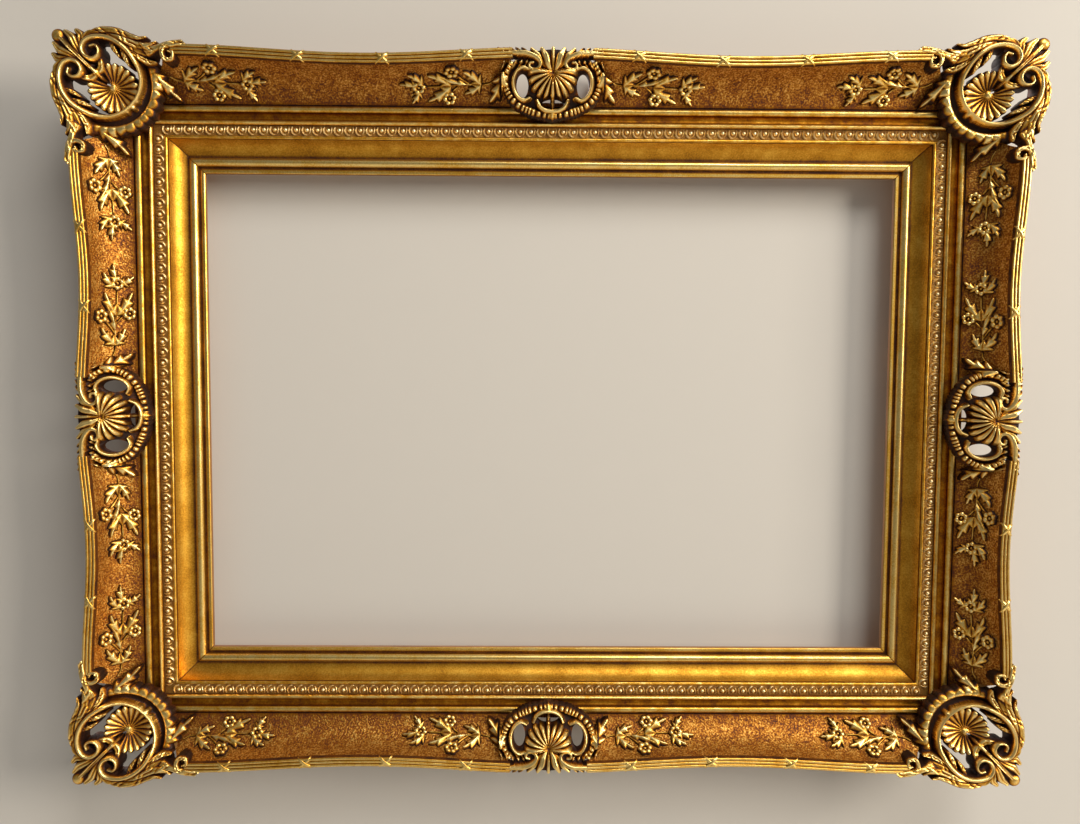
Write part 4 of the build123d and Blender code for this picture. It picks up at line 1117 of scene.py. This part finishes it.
def slip_ring():
    """The section of a slip, all round: (offset, height, relief, share of the materials)."""
    bead = bow((5.0, BEAD_FOOT), (12.0, BEAD_FOOT), 4.2, 13)
    cove = bow((13.0, BEAD_FOOT), (24.6, 26.4), -1.9, 12)
    wood, gold = 1, 0
    # Relief values: painted highlight on the fillet and the crown of the bead, painted shade in the grooves
    # at their feet
    rows = [
        (0.0, SLIP_SEAT, 0.3, wood), (0.0, 16.4, 0.62, gold), (0.6, 17.0, 0.85, gold),
        (2.6, 17.0, 0.7, gold), (3.2, 16.5, 0.3, gold), (4.0, BEAD_FOOT, 0.1, gold),
    ]
    rows += [(o, h, 0.14 + 0.74 * min(1.0, (h - BEAD_FOOT) / 2.2), gold) for o, h in bead]
    rows += [(o, h, 0.5 + 0.1 * i / len(cove) if i else 0.16, gold) for i, (o, h) in enumerate(cove)]
    outside = [(SLIP_OUTSIDE, 26.5), (SLIP_OUTSIDE, SLIP_GAP), (SLIP_HEEL, SLIP_GAP), (SLIP_HEEL, SLIP_SEAT)]
    return rows + [(o, h, 0.3, wood) for o, h in outside]


# Smooth water gilding, the cleanest on the frame: broad soft lights, painted highlight on the fillet and the
# crown of the bead, and thin brown lines of painted shade beside the bead
SLIP_GOLD = [(0.08, "#472104"), (0.3, "#8C5A14"), (0.52, "#C8902E"), (0.74, "#E8B64C"), (0.95, "#FFE08E")]
slip_gold = gilding("slip_gilding", SLIP_GOLD, rough=0.3, patch=26.0, grain=1.2, depth=0.00012)
ring = slip_ring()
steps = np.concatenate([[-1.0, -0.997], np.linspace(-0.99, 0.99, 23), [0.997, 1.0]])
at_mitre = np.abs(steps) > 0.999
faces = grid_faces(len(ring) + 1, len(steps)).tolist()
ends = np.arange(len(ring)) * len(steps)
faces += [ends.tolist(), (ends + len(steps) - 1)[::-1].tolist()]
shares = np.repeat([share for _, _, _, share in ring], len(steps) - 1).tolist() + [1, 1]
values = np.concatenate([np.where(at_mitre, tone * 0.15, tone) for _, _, tone, _ in ring + ring[:1]])
for side in SIDES:
    half = half_length(side)
    rows = [placed(side, (half + o - MITRE_GAP) * steps, o, h) for o, h, _, _ in ring + ring[:1]]
    materials = [slip_gold, rail_woods[side][1]]
    name = "slip_" + side + "_gilded"
    made = piece(name, np.concatenate(rows), faces, materials, turned(side), shares=shares, relief=values)
    settle(made, "slip_gilding", "slip_" + side)

# Turn buttons: six stamped brass plates behind the rails, each on one screw, turned aside while the
# frame is empty. They have a rolled edge from the stamping and have gone dull and brown with age.
BUTTONS = ("top_left", "top_right", "right", "bottom_right", "bottom_left", "left")
BUTTON_EDGE = 0.35
# Scratches are drawn this wide in mm, coarser than real ones, so that they show
SCRATCH = 0.7


def metal(name, dark, light, rough, patch):
    """Worn bare metal: darker and rougher in patches of so many mm, with fine scratches."""
    made, tree = surface(name)
    place = add(tree, "ShaderNodeTexCoord").outputs["Object"]
    patches = add(tree, "ShaderNodeTexNoise", {
        "Vector": place, "Scale": 1000 / patch, "Detail": 5.0, "Roughness": 0.6,
    })
    fine = add(tree, "ShaderNodeTexNoise", {
        "Vector": place, "Scale": 1000 / SCRATCH, "Detail": 2.0, "Roughness": 0.55,
    })
    faint = add(tree, "ShaderNodeMath", {0: fine, 1: 0.25}, operation="MULTIPLY")
    tone = add(
        tree, "ShaderNodeMath", {0: patches, 1: 0.8, 2: faint}, operation="MULTIPLY_ADD", use_clamp=True,
    )
    shader = add(tree, "ShaderNodeBsdfPrincipled", {
        "Base Color": add(tree, "ShaderNodeValToRGB", {"Fac": tone}, [(0.3, dark), (0.75, light)]),
        "Metallic": 1.0,
        "Roughness": add(tree, "ShaderNodeMapRange", {0: tone, 3: rough + 0.2, 4: rough - 0.05}),
        "Normal": add(tree, "ShaderNodeBump", {"Strength": 0.3, "Distance": 0.00005, "Height": fine}),
    })
    add(tree, "ShaderNodeOutputMaterial", {"Surface": shader})
    return made


# Stamped brass: dull yellow with brown, rougher patches where it has tarnished
button_brass = metal("button_brass", "#5C431C", "#B08A42", rough=0.4, patch=6.0)
for place in BUTTONS:
    made = welded("turn_button_" + place, "button_plate_" + place, button_brass, BUTTON_EDGE)
    settle(made, "button_brass", "turn_button_" + place, body="button_" + place)

# Screws: slotted steel screws with domed heads, larger for the turn buttons and smaller for the hangers,
# driven into the backs of the rails. Each slot stands at its own angle, as it was left by the driver.
BUTTON_ALONG = 150.0
BUTTON_OFFSET = 40.0
STRAP_ASIDE = 325.0
STRAP_SCREWS = (77.0, 58.0)
# The radius and the height of the head, the radius of the shank and its length
BUTTON_SCREW = (3.6, 1.8, 1.6, 14.0)
STRAP_SCREW = (3.2, 1.3, 1.7, 16.0)
SLOT_HALF = 0.45
SLOT_FACES = [(0, 1, 3, 2), (4, 6, 7, 5), (0, 4, 5, 1), (2, 3, 7, 6), (0, 2, 6, 4), (1, 5, 7, 3)]

tree, given = node_tree("slotted_screws", Screw="Object", Seed="Int", Steel="Material")
any_angle = {2: 0.0, 3: 2 * pi, "Seed": given["Seed"]}
angle = add(tree, "FunctionNodeRandomValue", any_angle, data_type="FLOAT").outputs[1]
screws = add(tree, "GeometryNodeInstanceOnPoints", {
    "Points": given["Geometry"],
    "Instance": add(tree, "GeometryNodeObjectInfo", {"Object": given["Screw"]}).outputs["Geometry"],
    "Rotation": add(tree, "ShaderNodeCombineXYZ", {"Y": angle}),
})
real = add(tree, "GeometryNodeRealizeInstances", {0: screws})
plated = add(tree, "GeometryNodeSetMaterial", {"Geometry": real, "Material": given["Steel"]})
add(tree, "NodeGroupOutput", {0: plated})
screw_tree = tree


def slotted_screw(head_radius, head_height, shank_radius, length, around=20):
    """A screw along -Y with its head's underside at the origin, in metres; the slot runs along X."""
    dome_rows = [(0.0, 1.0), (0.55, 0.93), (0.85, 0.7), (1.0, 0.3), (1.0, 0.0)]
    rows = [(r * head_radius, head_height * y) for r, y in dome_rows]
    rows += [(shank_radius, 0.0), (shank_radius, -length + 2.0), (0.0, -length)]
    turns = [2 * pi * i / around for i in range(around)]
    shape = bmesh.new()
    rings = []
    for r, y in rows:
        spots = [(r * cos(g), y, r * sin(g)) for g in turns] if r else [(0.0, y, 0.0)]
        rings.append([shape.verts.new([c / 1000 for c in spot]) for spot in spots])
    for first, second in zip(rings[:-1], rings[1:]):
        for i in range(around):
            j = (i + 1) % around
            loop = [(first, i), (first, j), (second, j), (second, i)]
            shape.faces.new(list(dict.fromkeys(ring[k % len(ring)] for ring, k in loop)))
    bmesh.ops.recalc_face_normals(shape, faces=shape.faces)
    mesh = bpy.data.meshes.new("screw")
    shape.to_mesh(mesh)
    shape.free()
    screw = in_scene("screw", mesh)
    wide, low, top = head_radius * 1.2, head_height * 0.4, head_height * 1.4
    corners = [(x * wide, y, z * SLOT_HALF) for x in (-1, 1) for y in (low, top) for z in (-1, 1)]
    cutter = piece("slot", np.array(corners) / 1000, SLOT_FACES, [])
    cut = screw.modifiers.new("slot", "BOOLEAN")
    cut.object = cutter
    cut.solver = "EXACT"
    graph = bpy.context.evaluated_depsgraph_get()
    screw.data = bpy.data.meshes.new_from_object(screw.evaluated_get(graph), depsgraph=graph)
    screw.modifiers.clear()
    bpy.data.objects.remove(cutter)
    return screw


# Turned steel gone grey: small soft lights on the domes, dark in the slots
screw_steel = metal("screw_steel", "#3E3A36", "#8E8A84", rough=0.38, patch=3.0)
beside, above = HALF_WIDTH + BUTTON_OFFSET, HALF_HEIGHT + BUTTON_OFFSET
pivots = [
    (-BUTTON_ALONG, above), (BUTTON_ALONG, above), (beside, 0.0),
    (BUTTON_ALONG, -above), (-BUTTON_ALONG, -above), (-beside, 0.0),
]
strap_screws = [(sign * STRAP_ASIDE, z) for sign in (-1, 1) for z in STRAP_SCREWS]
for name, spots, sizes, node in (
    ("button_screw_heads", pivots, BUTTON_SCREW, "turn_button_screws"),
    ("hanger_screw_heads", strap_screws, STRAP_SCREW, "hanger_screws"),
):
    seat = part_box(node)[1].y - sizes[1] / 1000
    screw = slotted_screw(*sizes)
    holder = wire(name + "_spots", [(x / 1000, seat, z / 1000) for x, z in spots], False)
    shape = grown(holder, screw_tree, Screw=screw, Seed=7, Steel=screw_steel)
    bpy.data.objects.remove(screw)
    shape.shade_smooth()
    shape.set_sharp_from_angle(angle=radians(35))
    settle(in_scene(name, shape), "screw_steel", node)

# Hangers: a steel strap with a rolled loop on each side rail, fixed by two screws, and a wire ring that
# swings in the loop. Both are zinc plated, with a duller film and brownish spots from a long time on a wall.
STRAP_EDGE = 0.2
# Zinc plated steel: pale grey with a dull film, rougher where it has spotted
hanger_steel = metal("hanger_steel", "#56524C", "#A8A49C", rough=0.36, patch=5.0)
for place in ("left", "right"):
    strap = welded("hanger_strap_" + place, "strap_plate_" + place, hanger_steel, STRAP_EDGE)
    settle(strap, "hanger_steel", "hanger_strap_" + place)
    ring = welded("hanger_ring_" + place, "ring_wire_" + place, hanger_steel)
    settle(ring, "hanger_steel", "hanger_ring_" + place, body="ring_" + place)

# Bumpers: two soft rubber discs stuck near the lower corners, which hold the frame off the wall. They
# have a rounded rim, and the dark rubber has a chalky bloom.
BUMPER_EDGE = 0.8
BLOOM_PATCH = 4.0
# Moulded rubber: nearly black and matt, greyer and duller where the bloom lies
bumper_rubber, tree = surface("bumper_rubber")
place = add(tree, "ShaderNodeTexCoord").outputs["Object"]
bloom = add(tree, "ShaderNodeTexNoise", {
    "Vector": place, "Scale": 1000 / BLOOM_PATCH, "Detail": 4.0, "Roughness": 0.55,
})
rubber = add(tree, "ShaderNodeBsdfPrincipled", {
    "Base Color": add(tree, "ShaderNodeValToRGB", {"Fac": bloom}, [(0.35, "#2A2622"), (0.7, "#544E48")]),
    "Roughness": add(tree, "ShaderNodeMapRange", {0: bloom, 3: 0.6, 4: 0.85}),
})
add(tree, "ShaderNodeOutputMaterial", {"Surface": rubber})
bumpers = welded("wall_bumpers", "bumper_discs", bumper_rubber, BUMPER_EDGE)
settle(bumpers, "bumper_rubber", "wall_bumpers")

# Plain stage: a pale wall that the frame hangs on, a pale floor far below it, and soft light from the
# right. The wall and the floor only show from their own front, so that the back of the frame can be seen.
WALL_HALF, WALL_TOP, WALL_BEHIND = 6.0, 4.0, 0.002
FLOOR_LEVEL, FLOOR_HALF, FLOOR_NEAR, FLOOR_FAR = -1.2, 12.0, -12.0, 8.0
# Matt paint: pale and even, and clear from behind and to the rays that look for shadows
stage_paint, tree = surface("stage_paint")
paint = add(tree, "ShaderNodeBsdfPrincipled", {"Base Color": linear("#D3CFC8"), "Roughness": 0.9})
behind = add(tree, "ShaderNodeNewGeometry").outputs["Backfacing"]
shadow = add(tree, "ShaderNodeLightPath").outputs["Is Shadow Ray"]
unseen = add(tree, "ShaderNodeMath", {0: behind, 1: shadow}, operation="MAXIMUM")
clear = add(tree, "ShaderNodeBsdfTransparent")
through = add(tree, "ShaderNodeMixShader", {0: unseen, 1: paint, 2: clear})
add(tree, "ShaderNodeOutputMaterial", {"Surface": through})
square = ((-1, 0), (1, 0), (1, 1), (-1, 1))
wall_points = [(x * WALL_HALF, WALL_BEHIND, (FLOOR_LEVEL, WALL_TOP)[up]) for x, up in square]
floor_points = [(x * FLOOR_HALF, (FLOOR_NEAR, FLOOR_FAR)[far], FLOOR_LEVEL) for x, far in square]
wall = piece("stage_wall", wall_points, [(0, 1, 2, 3)], [stage_paint])
floor = piece("stage_floor", floor_points, [(0, 1, 2, 3)], [stage_paint])
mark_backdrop(wall, floor)


def lamp(name, place, size, watts, tint):
    """A square soft light aimed at the middle of the frame."""
    data = bpy.data.lights.new(name, "AREA")
    data.size = size
    data.energy = watts
    data.color = linear(tint)[:3]
    made = in_scene(name, data)
    made.location = place
    made.rotation_euler = (-Vector(place)).to_track_quat("-Z", "Y").to_euler()
    made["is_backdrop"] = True


lamp("window_light", (3.15, -2.0, 0.9), size=1.35, watts=115.0, tint="#FFF5E6")
lamp("ceiling_light", (0.7, -1.4, 1.7), size=1.0, watts=26.0, tint="#FFFAF2")
lamp("back_light", (-0.9, 1.6, 1.0), size=1.2, watts=24.0, tint="#FFFFFF")
world = bpy.data.worlds.new("studio")
bpy.context.scene.world = world
world.use_nodes = True
world_light = world.node_tree.nodes["Background"].inputs
world_light["Color"].default_value = linear("#E8EAEE")
world_light["Strength"].default_value = 0.19

# Camera: where the photograph was taken from, 0.72 m in front of the wall, a little left of the middle of
# the frame and just above it, looking very slightly down and with a slight roll, as a hand-held one has.
CAMERA_PLACE = (-0.0139, -0.7208, 0.0459)
PAN, NOD, ROLL = radians(-0.34), radians(3.52), radians(0.5)
data = bpy.data.cameras.new("camera")
data.sensor_width = 36.0
data.lens = 29.0
camera = in_scene("camera", data)
turn = Matrix.Rotation(PAN, 3, "Z") @ Matrix.Rotation(NOD, 3, "X") @ Matrix.Rotation(ROLL, 3, "Y")
stand = (Matrix.Rotation(radians(90.0), 3, "X") @ turn.transposed()).to_4x4()
stand.translation = Vector(CAMERA_PLACE)
camera.matrix_world = stand
bpy.context.scene.camera = camera
bpy.context.scene.view_settings.view_transform = "Standard"

low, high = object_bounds()
sizes = {"cad": [list(cad_low), list(cad_high)], "visual": [list(low), list(high)]}
